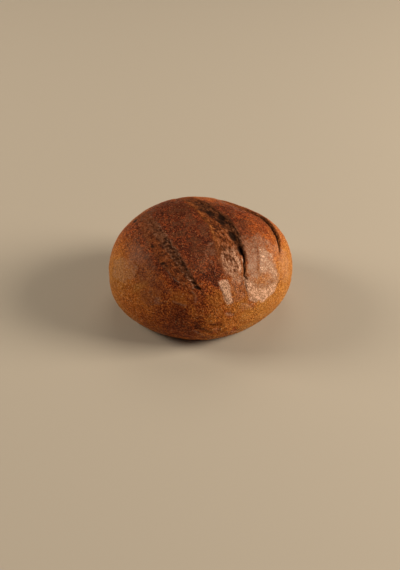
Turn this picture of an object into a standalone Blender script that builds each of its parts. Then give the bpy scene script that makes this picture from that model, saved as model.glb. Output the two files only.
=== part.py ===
"""A whole round rye loaf, 210 mm long, with three slashes across its crown.

The loaf is one closed solid called "loaf".  Metres, +Z up, X along the loaf's longer side,
origin at the bottom centre of its bounds.  Its form is worked out in three steps:

1. a plain domed form, given by its distance from the middle of the girth in any direction;
2. a net of directions whose lines run along the slashes, closer together where a slash is cut;
3. the slashes, which push the net in or out along the form's normal and sideways across the cut.
"""

import math
from dataclasses import dataclass

import bpy
import numpy as np

# Driving sizes of the plain form, in metres.
HALF_LENGTH = 0.105
HALF_WIDTH = 0.0917
HEIGHT = 0.1156
GIRTH_HEIGHT = 0.040
TUCK_DEPTH = 0.0567
SOLE_FILLET = 0.006
SOLE_INSET = 0.0096

# Powers of the curves that make up the form: 2 is an ellipse, more is squarer.
PLAN_POWER = 1.91
DOME_POWER = 2.26
TUCK_POWER = 2.35

# One end of the loaf is fuller: by this share, towards this azimuth in degrees.
FULLER_SHARE = 0.068
FULLER_AZIMUTH = 16.4

# Hollows and swellings of the crust: azimuth, elevation, spread in degrees and rise in metres.
SHOULDERS = (
    (36.0, 39.0, 16.0, -0.0040),
    (67.0, 44.0, 16.0, -0.0010),
    (115.0, 40.0, 20.0, 0.0007),
    (177.0, 4.0, 16.0, -0.0013),
    (-50.0, -14.0, 18.0, -0.0013),
    (-90.0, -16.0, 14.0, 0.0010),
    (-116.0, -16.0, 16.0, -0.0016),
)
SHOULDER_FROM_HEIGHT = -0.45
SHOULDER_WHOLE_HEIGHT = -0.2

# The slashes run along this azimuth; "lean" is measured across them, "reach" along them.
SLASH_AZIMUTH = -65.0
BACK_REACH = -60.0
FRONT_REACH = 78.0
REACH_LIMIT = 85.0

# A slash is cut only where the form faces this far up, as the height of a direction of length 1.
CUT_FROM_HEIGHT = 0.02
CUT_WHOLE_HEIGHT = 0.15

# The torn floor stays level for this share of the way to its edge, and meets the crust past it.
FLOOR_LEVEL_SHARE = 0.35
FLOOR_END_SHARE = 1.05
BROW_START_SHARE = 0.2
LIP_WIDTH = 0.0035

# Lines along the loaf: the lean in degrees at each of these reaches, both edges and the bottom
# of every slash, between the two rims of the upper net.
STATIONS = (-62.0, -40.0, -20.0, 0.0, 20.0, 36.0, 50.0, 62.0, 80.0)
LINES = {
    "left_rim": (-60.0,) * 9,
    "left_edge": (-39.0, -41.0, -43.0, -44.0, -46.0, -48.0, -49.5, -50.0, -50.0),
    "left_bottom": (-35.0, -38.0, -35.5, -34.5, -35.0, -36.5, -40.0, -46.0, -47.0),
    "left_brow": (-24.0, -25.0, -26.0, -28.0, -30.5, -33.0, -38.5, -43.0, -44.0),
    "middle_edge": (8.0, 8.5, 8.0, 5.0, 3.0, 0.0, -7.0, -12.0, -16.0),
    "middle_bottom": (15.0, 15.0, 14.5, 14.0, 18.5, 18.7, 18.0, 12.5, 10.0),
    "middle_brow": (20.0, 21.0, 23.0, 26.0, 24.5, 23.0, 19.3, 15.0, 14.0),
    "right_edge": (42.0, 41.0, 40.0, 41.5, 46.0, 50.5, 53.5, 54.0, 54.0),
    "right_bottom": (49.0, 49.0, 49.0, 49.5, 52.0, 55.5, 57.0, 57.5, 57.0),
    "right_brow": (55.0, 56.0, 56.5, 56.0, 56.5, 58.7, 59.5, 60.0, 60.0),
    "right_rim": (72.0,) * 9,
}

# Length of the step, in directions of length 1, over which the form's slope is measured.
NORMAL_STEP = 1e-4

# Fineness of the net: rows along the slashes, strips between neighbouring lines, rows of skirt.
TOP_ROWS = 44
STRIPS = (4, 3, 3, 6, 6, 4, 4, 2, 3, 3)
SKIRT_ROWS = 16

CRUST_COLOUR = (0.27, 0.105, 0.036, 1.0)
CRUST_ROUGHNESS = 0.6

ALONG = np.array([math.cos(math.radians(SLASH_AZIMUTH)), math.sin(math.radians(SLASH_AZIMUTH)), 0.0])
ACROSS = np.array([-ALONG[1], ALONG[0], 0.0])
UP = np.array([0.0, 0.0, 1.0])


@dataclass(frozen=True)
class Slash:
    """One slash: where it starts and ends in reach, and the sizes of its section in metres."""

    side: str
    start: float
    full: float
    fade: float
    end: float
    sink: float
    groove: float
    groove_width: float
    brow: float
    brow_length: float
    overhang: float
    lip: float

    def gate(self, reach):
        """Return 1 where the slash is whole, falling smoothly to 0 past both its ends."""
        return smooth_step(reach, self.start, self.full) * (1.0 - smooth_step(reach, self.fade, self.end))

    def offsets(self, reach, lean, arm):
        """Return how far the slash moves the crust outwards and sideways."""
        bottom = line_lean(self.side + "_bottom", reach)
        left = np.radians(bottom - line_lean(self.side + "_edge", reach)) * arm
        right = np.radians(line_lean(self.side + "_brow", reach) - bottom) * arm
        from_bottom = np.radians(lean - bottom) * arm
        beyond = from_bottom - right
        to_left = 1.0 - smooth_step(-from_bottom / left, FLOOR_LEVEL_SHARE, FLOOR_END_SHARE)
        to_right = 1.0 - smooth_step(from_bottom / right, 0.0, 1.0)
        floor = np.where(from_bottom < 0.0, to_left, to_right)
        climb = smooth_step(from_bottom / right, BROW_START_SHARE, 1.0)
        swell = np.where(beyond > 0.0, np.exp(-np.maximum(beyond, 0.0) / self.brow_length), climb)
        swell = np.where(from_bottom > 0.0, swell, 0.0)
        rise = self.brow * swell - self.sink * floor
        rise -= self.groove * np.exp(-(from_bottom / self.groove_width) ** 2)
        rise += self.lip * np.exp(-((from_bottom + left) / LIP_WIDTH) ** 2)
        gate = self.gate(reach)
        return gate * rise, -gate * self.overhang * swell


SLASHES = (
    Slash("left", -62.0, -30.0, 48.0, 64.0, 0.0018, 0.0016, 0.0024, 0.0004, 0.012, 0.0003, 0.0005),
    Slash("middle", -66.0, -20.0, 54.0, 68.0, 0.0030, 0.0050, 0.0018, 0.0024, 0.016, 0.0012, 0.0008),
    Slash("right", -56.0, -24.0, 48.0, 62.0, 0.0026, 0.0045, 0.0018, 0.0018, 0.012, 0.0010, 0.0002),
)


def smooth_step(value, low, high):
    """Return 0 below low, 1 above high and a smooth rise between."""
    share = np.clip((value - low) / (high - low), 0.0, 1.0)
    return share * share * (3.0 - 2.0 * share)


def line_lean(name, reach):
    """Return the lean of a named line at any reach: a smooth curve through its stations."""
    stations = np.array(STATIONS)
    values = np.array(LINES[name])
    slopes = np.gradient(values, stations)
    index = np.clip(np.searchsorted(stations, reach) - 1, 0, len(stations) - 2)
    width = stations[index + 1] - stations[index]
    t = np.clip((reach - stations[index]) / width, 0.0, 1.0)
    start = (2 * t**3 - 3 * t**2 + 1) * values[index] + (t**3 - 2 * t**2 + t) * width * slopes[index]
    finish = (3 * t**2 - 2 * t**3) * values[index + 1] + (t**3 - t**2) * width * slopes[index + 1]
    return start + finish


def plan_radius(azimuth):
    """Return the radius of the loaf's outline seen from above."""
    along_x = np.abs(np.cos(azimuth) / HALF_LENGTH) ** PLAN_POWER
    along_y = np.abs(np.sin(azimuth) / HALF_WIDTH) ** PLAN_POWER
    even = (along_x + along_y) ** (-1.0 / PLAN_POWER)
    return even * (1.0 + FULLER_SHARE * np.cos(azimuth - math.radians(FULLER_AZIMUTH)))


def plain_radius(direction):
    """Return the distance from the middle of the girth to the plain form: dome, tuck and sole."""
    flat = np.hypot(direction[..., 0], direction[..., 1])
    level = flat / plan_radius(np.arctan2(direction[..., 1], direction[..., 0]))
    steep = np.abs(direction[..., 2])
    dome = (level**DOME_POWER + (steep / (HEIGHT - GIRTH_HEIGHT)) ** DOME_POWER) ** (-1.0 / DOME_POWER)
    tuck = (level**TUCK_POWER + (steep / TUCK_DEPTH) ** TUCK_POWER) ** (-1.0 / TUCK_POWER)
    sole = GIRTH_HEIGHT / np.maximum(steep, 1e-6)
    blend = np.maximum(1.0 - np.abs(tuck - sole) / SOLE_FILLET, 0.0)
    rounded = np.minimum(tuck, sole) - blend * blend * SOLE_FILLET / 4.0
    return np.where(direction[..., 2] >= 0.0, dome, rounded)


def shoulder_rise(direction):
    """Return how far the hollows and swellings move the crust, none of it near the sole."""
    total = np.zeros(direction.shape[:-1])
    for azimuth, elevation, spread, rise in SHOULDERS:
        level = math.cos(math.radians(elevation))
        centre = np.array([
            level * math.cos(math.radians(azimuth)),
            level * math.sin(math.radians(azimuth)),
            math.sin(math.radians(elevation)),
        ])
        apart = np.degrees(np.arccos(np.clip(direction @ centre, -1.0, 1.0)))
        total += rise * np.exp(-((apart / spread) ** 2))
    return total * smooth_step(direction[..., 2], SHOULDER_FROM_HEIGHT, SHOULDER_WHOLE_HEIGHT)


def plain_point(direction):
    """Return the point of the plain form in each direction."""
    radius = plain_radius(direction) + shoulder_rise(direction)
    return direction * radius[..., None] + UP * GIRTH_HEIGHT


def unit(vectors):
    """Return the vectors scaled to a length of 1."""
    return vectors / np.maximum(np.linalg.norm(vectors, axis=-1, keepdims=True), 1e-9)


def normal_and_sideways(direction):
    """Return the plain form's outward normal and its tangent across the slashes."""
    across = unit(ACROSS - (direction @ ACROSS)[..., None] * direction)
    along = np.cross(direction, across)
    step = NORMAL_STEP
    side = plain_point(unit(direction + step * across)) - plain_point(unit(direction - step * across))
    ahead = plain_point(unit(direction + step * along)) - plain_point(unit(direction - step * along))
    return unit(np.cross(side, ahead)), unit(side)


def crust_point(direction):
    """Return the points of the finished crust: the plain form with all three slashes cut."""
    point = plain_point(direction)
    normal, sideways = normal_and_sideways(direction)
    reach = np.degrees(np.arctan2(direction @ ALONG, direction[..., 2]))
    lean = np.degrees(np.arctan2(direction @ ACROSS, direction[..., 2]))
    arm = np.hypot(point @ ACROSS, point[..., 2] - GIRTH_HEIGHT)
    reach = np.clip(reach, -REACH_LIMIT, REACH_LIMIT)
    upper = smooth_step(direction[..., 2], CUT_FROM_HEIGHT, CUT_WHOLE_HEIGHT)
    for slash in SLASHES:
        rise, shift = slash.offsets(reach, lean, arm)
        point = point + normal * (rise * upper)[..., None] + sideways * (shift * upper)[..., None]
    return point


def upper_directions():
    """Return the directions of the upper net, rows along the slashes by columns across them."""
    reach = np.linspace(BACK_REACH, FRONT_REACH, TOP_ROWS + 1)
    names = list(LINES)
    columns = []
    for first, second, count in zip(names[:-1], names[1:], STRIPS):
        start = line_lean(first, reach)
        finish = line_lean(second, reach)
        for strip in range(count):
            columns.append(start + (finish - start) * strip / count)
    columns.append(line_lean(names[-1], reach))
    lean = np.stack(columns, axis=-1)
    reach = np.repeat(reach[:, None], lean.shape[1], axis=1)
    ahead = ALONG * np.tan(np.radians(reach))[..., None]
    aside = ACROSS * np.tan(np.radians(lean))[..., None]
    return unit(ahead + aside + UP)


def rim_indices(rows, columns):
    """Return the vertex numbers round the rim of a net of rows by columns."""
    front = [(0, column) for column in range(columns)]
    right = [(row, columns - 1) for row in range(1, rows)]
    back = [(rows - 1, column) for column in range(columns - 2, -1, -1)]
    left = [(row, 0) for row in range(rows - 2, 0, -1)]
    return [row * columns + column for row, column in front + right + back + left]


def skirt_directions(rim):
    """Return rows of directions going straight down from the rim to the edge of the flat sole."""
    azimuth = np.arctan2(rim[:, 1], rim[:, 0])
    high = np.arcsin(rim[:, 2])
    sole_share = (1.0 - (GIRTH_HEIGHT / TUCK_DEPTH) ** TUCK_POWER) ** (1.0 / TUCK_POWER)
    sole_radius = plan_radius(azimuth) * sole_share - SOLE_INSET
    low = -np.arctan2(GIRTH_HEIGHT, sole_radius)
    rows = []
    for row in range(1, SKIRT_ROWS + 1):
        elevation = high + (low - high) * row / SKIRT_ROWS
        flat = np.cos(elevation)
        rows.append(np.stack([flat * np.cos(azimuth), flat * np.sin(azimuth), np.sin(elevation)], axis=-1))
    return np.array(rows)


def loaf_faces(rows, columns, rim):
    """Return the faces: the upper net, the skirt below it and one flat face for the sole."""
    faces = []
    for row in range(rows - 1):
        for column in range(columns - 1):
            corner = row * columns + column
            faces.append((corner, corner + columns, corner + columns + 1, corner + 1))
    ring = list(rim)
    for level in range(SKIRT_ROWS):
        first = rows * columns + level * len(rim)
        lower = list(range(first, first + len(rim)))
        for index in range(len(rim)):
            after = (index + 1) % len(rim)
            faces.append((ring[index], ring[after], lower[after], lower[index]))
        ring = lower
    faces.append(tuple(ring))
    return faces


def loaf_mesh():
    """Return the loaf's mesh, flat on z = 0 and centred on the Z axis."""
    upper = upper_directions()
    rows, columns = upper.shape[:2]
    rim = rim_indices(rows, columns)
    skirt = crust_point(skirt_directions(upper.reshape(-1, 3)[rim]))
    skirt[-1, :, 2] = 0.0
    points = np.concatenate([crust_point(upper).reshape(-1, 3), skirt.reshape(-1, 3)])
    points[:, :2] -= (points[:, :2].min(axis=0) + points[:, :2].max(axis=0)) / 2.0
    mesh = bpy.data.meshes.new("loaf")
    mesh.from_pydata(points.tolist(), [], loaf_faces(rows, columns, rim))
    mesh.update()
    return mesh


def crust_material():
    """Return the plain brown of the crust."""
    material = bpy.data.materials.new("crust")
    material.use_nodes = True
    shader = material.node_tree.nodes["Principled BSDF"]
    shader.inputs["Base Color"].default_value = CRUST_COLOUR
    shader.inputs["Roughness"].default_value = CRUST_ROUGHNESS
    return material


def clear_scene():
    """Remove everything the start-up scene brings."""
    for thing in list(bpy.data.objects):
        bpy.data.objects.remove(thing, do_unlink=True)


def main():
    """Build the one solid."""
    clear_scene()
    mesh = loaf_mesh()
    mesh.materials.append(crust_material())
    for polygon in mesh.polygons:
        polygon.use_smooth = False
    bpy.context.scene.collection.objects.link(bpy.data.objects.new("loaf", mesh))


main()
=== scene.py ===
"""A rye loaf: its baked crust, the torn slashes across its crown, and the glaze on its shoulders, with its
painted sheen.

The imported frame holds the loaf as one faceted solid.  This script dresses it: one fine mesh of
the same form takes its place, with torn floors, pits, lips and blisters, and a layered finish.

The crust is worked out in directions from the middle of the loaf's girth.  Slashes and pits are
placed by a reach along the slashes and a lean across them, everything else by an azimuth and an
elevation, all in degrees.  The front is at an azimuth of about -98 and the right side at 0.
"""

from __future__ import annotations

import logging
import math
from dataclasses import dataclass, field, fields
from enum import Enum

import bpy
import numpy as np
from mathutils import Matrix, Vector, noise


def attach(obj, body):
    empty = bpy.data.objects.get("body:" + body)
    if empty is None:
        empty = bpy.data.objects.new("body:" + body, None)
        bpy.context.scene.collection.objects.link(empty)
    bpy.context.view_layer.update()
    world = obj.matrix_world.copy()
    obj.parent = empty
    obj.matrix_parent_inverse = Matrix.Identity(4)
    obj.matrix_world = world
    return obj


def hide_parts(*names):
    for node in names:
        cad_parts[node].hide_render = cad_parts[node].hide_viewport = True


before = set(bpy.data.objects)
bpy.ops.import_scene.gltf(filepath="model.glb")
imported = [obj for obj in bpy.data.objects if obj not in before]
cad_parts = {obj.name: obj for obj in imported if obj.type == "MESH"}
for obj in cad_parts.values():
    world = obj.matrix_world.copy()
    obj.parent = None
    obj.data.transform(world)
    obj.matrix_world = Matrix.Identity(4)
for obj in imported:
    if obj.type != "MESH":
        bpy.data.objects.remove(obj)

Array = np.ndarray
Colour = tuple[float, float, float, float]
Corners = tuple[tuple[float, float], ...]
Span = tuple[float, float]
Socket = bpy.types.NodeSocket
Table = tuple[float, float, float, float, float, float, float, float, float]
LOG = logging.getLogger("rye_loaf")

MM = 0.001
UP = np.array([0.0, 0.0, 1.0])
GIRTH_HEIGHT = 0.040
SLASH_AZIMUTH = -65.0
# Level directions along the slashes, towards the front, and across them, towards the right.
ALONG = np.array([math.cos(math.radians(SLASH_AZIMUTH)), math.sin(math.radians(SLASH_AZIMUTH)), 0.0])
ACROSS = np.array([-ALONG[1], ALONG[0], 0.0])
# The reaches, in degrees, at which every table has a value.
STATIONS = np.array([-62.0, -40.0, -20.0, 0.0, 20.0, 36.0, 50.0, 62.0, 80.0])
REACH_LIMIT = 85.0
# About how long a degree is on the crust.
METRES_PER_DEGREE = 0.0015
FAR = 1e9
MARKS = ("torn", "char", "crack_and_shade", "lip", "glaze_and_sheen", "tone", "bake", "crumb")
SLASH_LAYERS = ("rise", "shift", "torn", "char", "crack_and_shade", "lip")


def smooth_step(value: Array, low: float, high: float) -> Array:
    """Give a smooth rise from 0 to 1.

    Args:
        value: Numbers to read off the rise.
        low: Where the rise starts.
        high: Where it ends.

    Returns:
        The share of the rise at each number.
    """
    share = np.clip((value - low) / (high - low), 0.0, 1.0)
    return share * share * (3.0 - 2.0 * share)


def around(value: Array, middle: float, full: float, gone: float) -> Array:
    """Return 1 near a middle, falling to 0 between two distances from it."""
    return 1.0 - smooth_step(np.abs(value - middle), full, gone)


def bell(value: Array, width: float) -> Array:
    """Return 1 at zero, falling off on both sides over the width."""
    return np.exp(-((value / width) ** 2))


def unit(vectors: Array) -> Array:
    """Return the vectors scaled to a length of 1."""
    return vectors / np.maximum(np.linalg.norm(vectors, axis=-1, keepdims=True), 1e-9)


def along(table: Table, reach: Array) -> Array:
    """Read a table of values at the stations, on a smooth curve through them.

    Args:
        table: One value for each station.
        reach: Degrees along the slashes.

    Returns:
        The value at each reach.
    """
    values = np.array(table)
    slopes = np.gradient(values, STATIONS)
    index = np.clip(np.searchsorted(STATIONS, reach) - 1, 0, len(STATIONS) - 2)
    width = STATIONS[index + 1] - STATIONS[index]
    t = np.clip((reach - STATIONS[index]) / width, 0.0, 1.0)
    start = (2 * t**3 - 3 * t**2 + 1) * values[index] + (t**3 - 2 * t**2 + t) * width * slopes[index]
    finish = (3 * t**2 - 2 * t**3) * values[index + 1] + (t**3 - t**2) * width * slopes[index + 1]
    return start + finish


def direction_at(azimuth: float, elevation: float) -> Array:
    """Find a direction.

    Args:
        azimuth: Degrees round the loaf.
        elevation: Degrees above the girth.

    Returns:
        The direction, with a length of 1.
    """
    level = math.cos(math.radians(elevation))
    turn = math.radians(azimuth)
    return np.array([level * math.cos(turn), level * math.sin(turn), math.sin(math.radians(elevation))])


class Line(Enum):
    """Lines that run along the loaf, each as its lean across the slashes at every station."""

    LEFT_RIM = (-62.0,) * 9
    LEFT_EDGE = (-36.0, -38.0, -40.0, -43.0, -46.0, -48.0, -50.5, -52.0, -52.0)
    LEFT_BOTTOM = (-33.0, -33.0, -31.5, -32.0, -33.8, -36.6, -40.2, -44.5, -46.0)
    LEFT_BROW = (-26.0, -26.0, -26.5, -28.5, -30.7, -33.3, -38.0, -42.5, -44.0)
    MIDDLE_EDGE = (8.0, 8.5, 8.0, 5.5, 2.5, -4.0, -11.0, -13.0, -16.0)
    MIDDLE_BOTTOM = (15.0, 15.5, 16.5, 16.8, 19.0, 18.8, 18.0, 11.5, 12.0)
    MIDDLE_BROW = (20.0, 21.0, 22.0, 22.5, 24.5, 23.2, 20.3, 16.5, 15.5)
    RIGHT_EDGE = (42.0, 42.0, 43.0, 45.0, 49.3, 52.3, 55.5, 57.0, 57.0)
    RIGHT_BOTTOM = (48.5, 48.5, 49.5, 51.5, 55.5, 57.5, 58.4, 59.0, 59.0)
    RIGHT_BROW = (54.5, 54.5, 55.0, 56.0, 58.7, 60.2, 61.0, 61.5, 61.5)
    RIGHT_RIM = (73.0,) * 9

    def lean(self, reach: Array) -> Array:
        """Return the line's lean in degrees at any reach."""
        return along(self.value, reach)


class Pattern(Enum):
    """Soft clouds: their size in metres, their number of layers, and a shift that sets them apart."""

    FLOOR_BEND = (0.0055, 3, 15.0)
    TORN_EDGE = (0.008, 3, 11.0)
    CRUMB_LUMPS = (0.0065, 3, 2.0)
    CRUMB_CREASES = (0.0030, 2, 5.0)
    CRUMB_GAPS = (0.010, 2, 19.0)
    CHAR_EDGE = (0.007, 3, 23.0)
    BURNT_SHADED_HOLES = (0.0024, 1, 29.0)
    CREASE_BEND = (0.006, 2, 61.0)
    FIELD_EDGE = (0.009, 4, 21.0)
    FIELD_FRINGE = (0.0035, 2, 31.0)
    GLAZE_STREAKS = (0.0028, 2, 41.0)
    VEILS = (0.011, 4, 61.0)
    DENTS = (0.024, 2, 31.0)
    LUMPS = (0.0045, 3, 41.0)
    BAKE_CLOUDS = (0.030, 3, 71.0)
    BAKE_MOTTLE = (0.008, 3, 81.0)
    FRONT_STREAKS = (0.0048, 3, 91.0)
    LOW_FOLDS = (0.0042, 3, 95.0)


class Scatter(Enum):
    """Scattered seeds: their spacing in metres, and a shift that sets them apart."""

    CRUMBS = (0.0032, 8.0)
    SPECKS = (0.0036, 33.0)
    BLISTERS = (0.0046, 51.0)


@dataclass(frozen=True)
class Grain:
    """Uneven patterns that the same seed always repeats."""

    seed: float = 3.7
    fading: float = 1.0
    doubling: float = 2.0

    def cloud(self, points: Array, pattern: Pattern) -> Array:
        """Draw soft clouds.

        Args:
            points: Places in metres, as rows of three.
            pattern: The clouds to draw.

        Returns:
            A value of about -1 to 1 at each place.
        """
        size, layers, shift = pattern.value
        base = Vector((self.seed + shift, self.seed - shift, shift * 2.0))
        rows = (points / size).tolist()
        settings = (self.fading, self.doubling, layers)
        return np.array([noise.fractal(Vector(row) + base, *settings) for row in rows])

    def ridges(self, points: Array, pattern: Pattern) -> Array:
        """Return sharp creases between soft bumps, from 0 in the open to 1 on a crease."""
        return 1.0 - np.abs(self.cloud(points, pattern)) * 2.0

    def cells(self, points: Array, scatter: Scatter) -> tuple[Array, Array]:
        """Scatter seeds, as for blisters or crumbs.

        Args:
            points: Places in metres, as rows of three.
            scatter: The seeds to scatter.

        Returns:
            The distance to the nearest seed, and to the border with the next, in seed spacings.
        """
        spacing, shift = scatter.value
        base = Vector((self.seed + shift, shift, self.seed))
        near = [noise.voronoi(Vector(row) + base)[0] for row in (points / spacing).tolist()]
        first, second = np.array([(item[0], item[1]) for item in near]).T
        return first, second - first


@dataclass(frozen=True)
class Spot:
    """A soft round spot on the loaf: its middle and spread in degrees, and how strong it is."""

    azimuth: float
    elevation: float
    spread: float
    amount: float

    def at(self, direction: Array) -> Array:
        """Read the spot.

        Args:
            direction: Directions of length 1.

        Returns:
            The spot's strength in each direction.
        """
        centre = direction_at(self.azimuth, self.elevation)
        apart = np.degrees(np.arccos(np.clip(direction @ centre, -1.0, 1.0)))
        return self.amount * bell(apart, self.spread)


@dataclass(frozen=True)
class PlainForm:
    """The loaf before it is slashed: a dome on a tucked-in underside with a flat sole."""

    half_length: float = 0.105
    half_width: float = 0.0917
    height: float = 0.1156
    girth_height: float = GIRTH_HEIGHT
    tuck_depth: float = 0.0567
    sole_fillet: float = 0.006
    sole_inset: float = 0.0096
    plan_power: float = 1.91
    dome_power: float = 2.26
    tuck_power: float = 2.35
    fuller_share: float = 0.068
    fuller_azimuth: float = 16.4
    slope_step: float = 1e-4
    shoulder_rise: Span = (-0.45, -0.2)
    shoulders: tuple[Spot, ...] = (
        Spot(36.0, 39.0, 16.0, -0.0040),
        Spot(67.0, 44.0, 16.0, -0.0010),
        Spot(115.0, 40.0, 20.0, 0.0007),
        Spot(177.0, 4.0, 16.0, -0.0013),
        Spot(-50.0, -14.0, 18.0, -0.0013),
        Spot(-90.0, -16.0, 14.0, 0.0010),
        Spot(-116.0, -16.0, 16.0, -0.0016),
    )

    def plan_radius(self, azimuth: Array) -> Array:
        """Measure the outline seen from above.

        Args:
            azimuth: Radians round the loaf.

        Returns:
            The outline's radius at each azimuth.
        """
        along_x = np.abs(np.cos(azimuth) / self.half_length) ** self.plan_power
        along_y = np.abs(np.sin(azimuth) / self.half_width) ** self.plan_power
        even = (along_x + along_y) ** (-1.0 / self.plan_power)
        return even * (1.0 + self.fuller_share * np.cos(azimuth - math.radians(self.fuller_azimuth)))

    @staticmethod
    def _rounded(level: Array, steep: Array, power: float) -> Array:
        """Return the distance to a rounded form, from its level and steep shares in each direction."""
        return (level**power + steep**power) ** (-1.0 / power)

    def radius(self, direction: Array) -> Array:
        """Measure the form from the middle of the girth.

        Args:
            direction: Directions of length 1.

        Returns:
            The distance to the form in each direction.
        """
        flat = np.hypot(direction[..., 0], direction[..., 1])
        level = flat / self.plan_radius(np.arctan2(direction[..., 1], direction[..., 0]))
        steep = np.abs(direction[..., 2])
        dome = self._rounded(level, steep / (self.height - self.girth_height), self.dome_power)
        tuck = self._rounded(level, steep / self.tuck_depth, self.tuck_power)
        sole = self.girth_height / np.maximum(steep, 1e-6)
        blend = np.maximum(1.0 - np.abs(tuck - sole) / self.sole_fillet, 0.0)
        under = np.minimum(tuck, sole) - blend * blend * self.sole_fillet / 4.0
        plain = np.where(direction[..., 2] >= 0.0, dome, under)
        swell = sum(shoulder.at(direction) for shoulder in self.shoulders)
        return plain + swell * smooth_step(direction[..., 2], *self.shoulder_rise)

    def point(self, direction: Array) -> Array:
        """Return the point of the form in each direction."""
        return direction * self.radius(direction)[..., None] + UP * self.girth_height

    def normal_and_sideways(self, direction: Array) -> tuple[Array, Array]:
        """Measure how the form faces.

        Args:
            direction: Directions of length 1 from the middle of the girth.

        Returns:
            The outward normal, and the tangent that runs across the slashes.
        """
        across = unit(ACROSS - (direction @ ACROSS)[..., None] * direction)
        onward = np.cross(direction, across)
        step = self.slope_step
        side = self.point(unit(direction + step * across)) - self.point(unit(direction - step * across))
        ahead = self.point(unit(direction + step * onward)) - self.point(unit(direction - step * onward))
        return unit(np.cross(side, ahead)), unit(side)

    def sole_elevation(self, azimuth: Array) -> Array:
        """Return the elevation, in radians, at which the flat sole starts at each azimuth."""
        share = (1.0 - (self.girth_height / self.tuck_depth) ** self.tuck_power) ** (1.0 / self.tuck_power)
        return -np.arctan2(self.girth_height, self.plan_radius(azimuth) * share - self.sole_inset)


@dataclass
class Relief:
    """What is laid on the plain form, point by point: moves in metres and marks from 0 to 1."""

    rise: Array
    shift: Array
    torn: Array
    char: Array
    # Soot with painted shade, in cracks, pits, crumb gaps, burnt holes and fold grooves.
    crack_and_shade: Array
    # Lips: pale crumb with painted highlights.
    lip: Array
    # The glaze film; its tone sets how pale its painted sheen is.
    glaze_and_sheen: Array
    tone: Array
    bake: Array
    # Crumb tone: painted paler where raised and darker where sunk, as light and shade.
    crumb: Array

    @classmethod
    def blank(cls, count: int) -> Relief:
        """Return a relief that moves and marks nothing."""
        return cls(*(np.zeros(count) for _ in fields(cls)))

    def darken(self, cover: Array) -> None:
        """Mark cracks and hollows as soot with painted shade, where they aren't already darker."""
        self.crack_and_shade = np.maximum(self.crack_and_shade, cover)

    def light(self, cover: Array) -> None:
        """Mark a lip as pale crumb with a painted highlight, where it isn't already paler."""
        self.lip = np.maximum(self.lip, cover)

    def coat(self, cover: Array, tone: float) -> None:
        """Lay a film of glaze of one tone over what is there; its paler tones are painted sheen and
        highlight.

        Args:
            cover: How fully the film covers each point.
            tone: How pale it is, from 0 to 1.
        """
        share = np.clip(cover / np.maximum(np.maximum(cover, self.glaze_and_sheen), 1e-6), 0.0, 1.0)
        self.tone += (tone - self.tone) * np.where(cover > 0.0, share, 0.0)
        self.glaze_and_sheen = np.maximum(self.glaze_and_sheen, cover)

    def fade_slashes(self, share: Array) -> None:
        """Scale the moves and marks of the slashes."""
        for name in SLASH_LAYERS:
            setattr(self, name, getattr(self, name) * share)

    def write(self, mesh: bpy.types.Mesh) -> None:
        """Write each mark as an attribute that the finish reads.

        Args:
            mesh: The crust, with one vertex for each point.
        """
        for name in MARKS:
            mark = mesh.attributes.new(name, "FLOAT", "POINT")
            mark.data.foreach_set("value", np.clip(getattr(self, name), 0.0, 1.0).astype(np.float32))


@dataclass(frozen=True)
class Site:
    """Where each point of the crust lies: on the net, on the form and in space."""

    reach: Array
    lean: Array
    arm: Array
    point: Array
    direction: Array

    @property
    def upward(self) -> Array:
        """Return how far each direction points up, from -1 to 1."""
        return self.direction[:, 2]

    @property
    def azimuth(self) -> Array:
        """Return each direction's azimuth in degrees."""
        return np.degrees(np.arctan2(self.direction[:, 1], self.direction[:, 0]))

    @property
    def elevation(self) -> Array:
        """Return each direction's elevation in degrees."""
        return np.degrees(np.arcsin(np.clip(self.upward, -1.0, 1.0)))

    def from_line(self, line: Line) -> Array:
        """Return the distance in metres across the crust from a line, positive to its right."""
        return np.radians(self.lean - line.lean(self.reach)) * self.arm

    def from_lean(self, lean: float) -> Array:
        """Return the distance in metres across the crust from a fixed lean."""
        return np.radians(self.lean - lean) * self.arm

    def from_reach(self, reach: float) -> Array:
        """Return the distance in metres along the crust from a fixed reach."""
        return (self.reach - reach) * METRES_PER_DEGREE

    def laid_flat(self, round_share: float, up_share: float) -> Array:
        """Lay the crust out flat, so that a pattern on it is drawn out one way.

        Args:
            round_share: How much of the way round the loaf is kept.
            up_share: How much of the way up it is kept.

        Returns:
            Places in metres, as rows of three.
        """
        wide = np.cos(np.radians(self.elevation)) * self.azimuth * METRES_PER_DEGREE
        tall = self.elevation * METRES_PER_DEGREE
        return np.stack([round_share * wide, up_share * tall, 0.0 * tall], axis=-1)


@dataclass(frozen=True)
class Floor:
    """Where each point lies against the floor of one slash.

    The distance across is taken from the bottom line, positive towards the brow, and the floor has
    a width on each side of that line.  These and the raggedness of the charred band are in
    millimetres.  The sheet is the same floor laid out flat in metres, for patterns.
    """

    reach: Array
    across: Array
    left: Array
    right: Array
    ragged: Array
    sheet: Array
    edge_wander_share: float = 0.6

    @property
    def from_edge(self) -> Array:
        """Return the distance in millimetres from the floor's ragged left edge, positive inside."""
        return self.across + self.left + self.edge_wander_share * self.ragged

    def read(self, table: Table) -> Array:
        """Return a table's value at each point."""
        return along(table, self.reach)

    def drawn_out(self, share: float) -> Array:
        """Return the sheet with its length shrunk, which draws a pattern out along the slash."""
        return self.sheet * np.array([1.0, share, 1.0])


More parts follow.
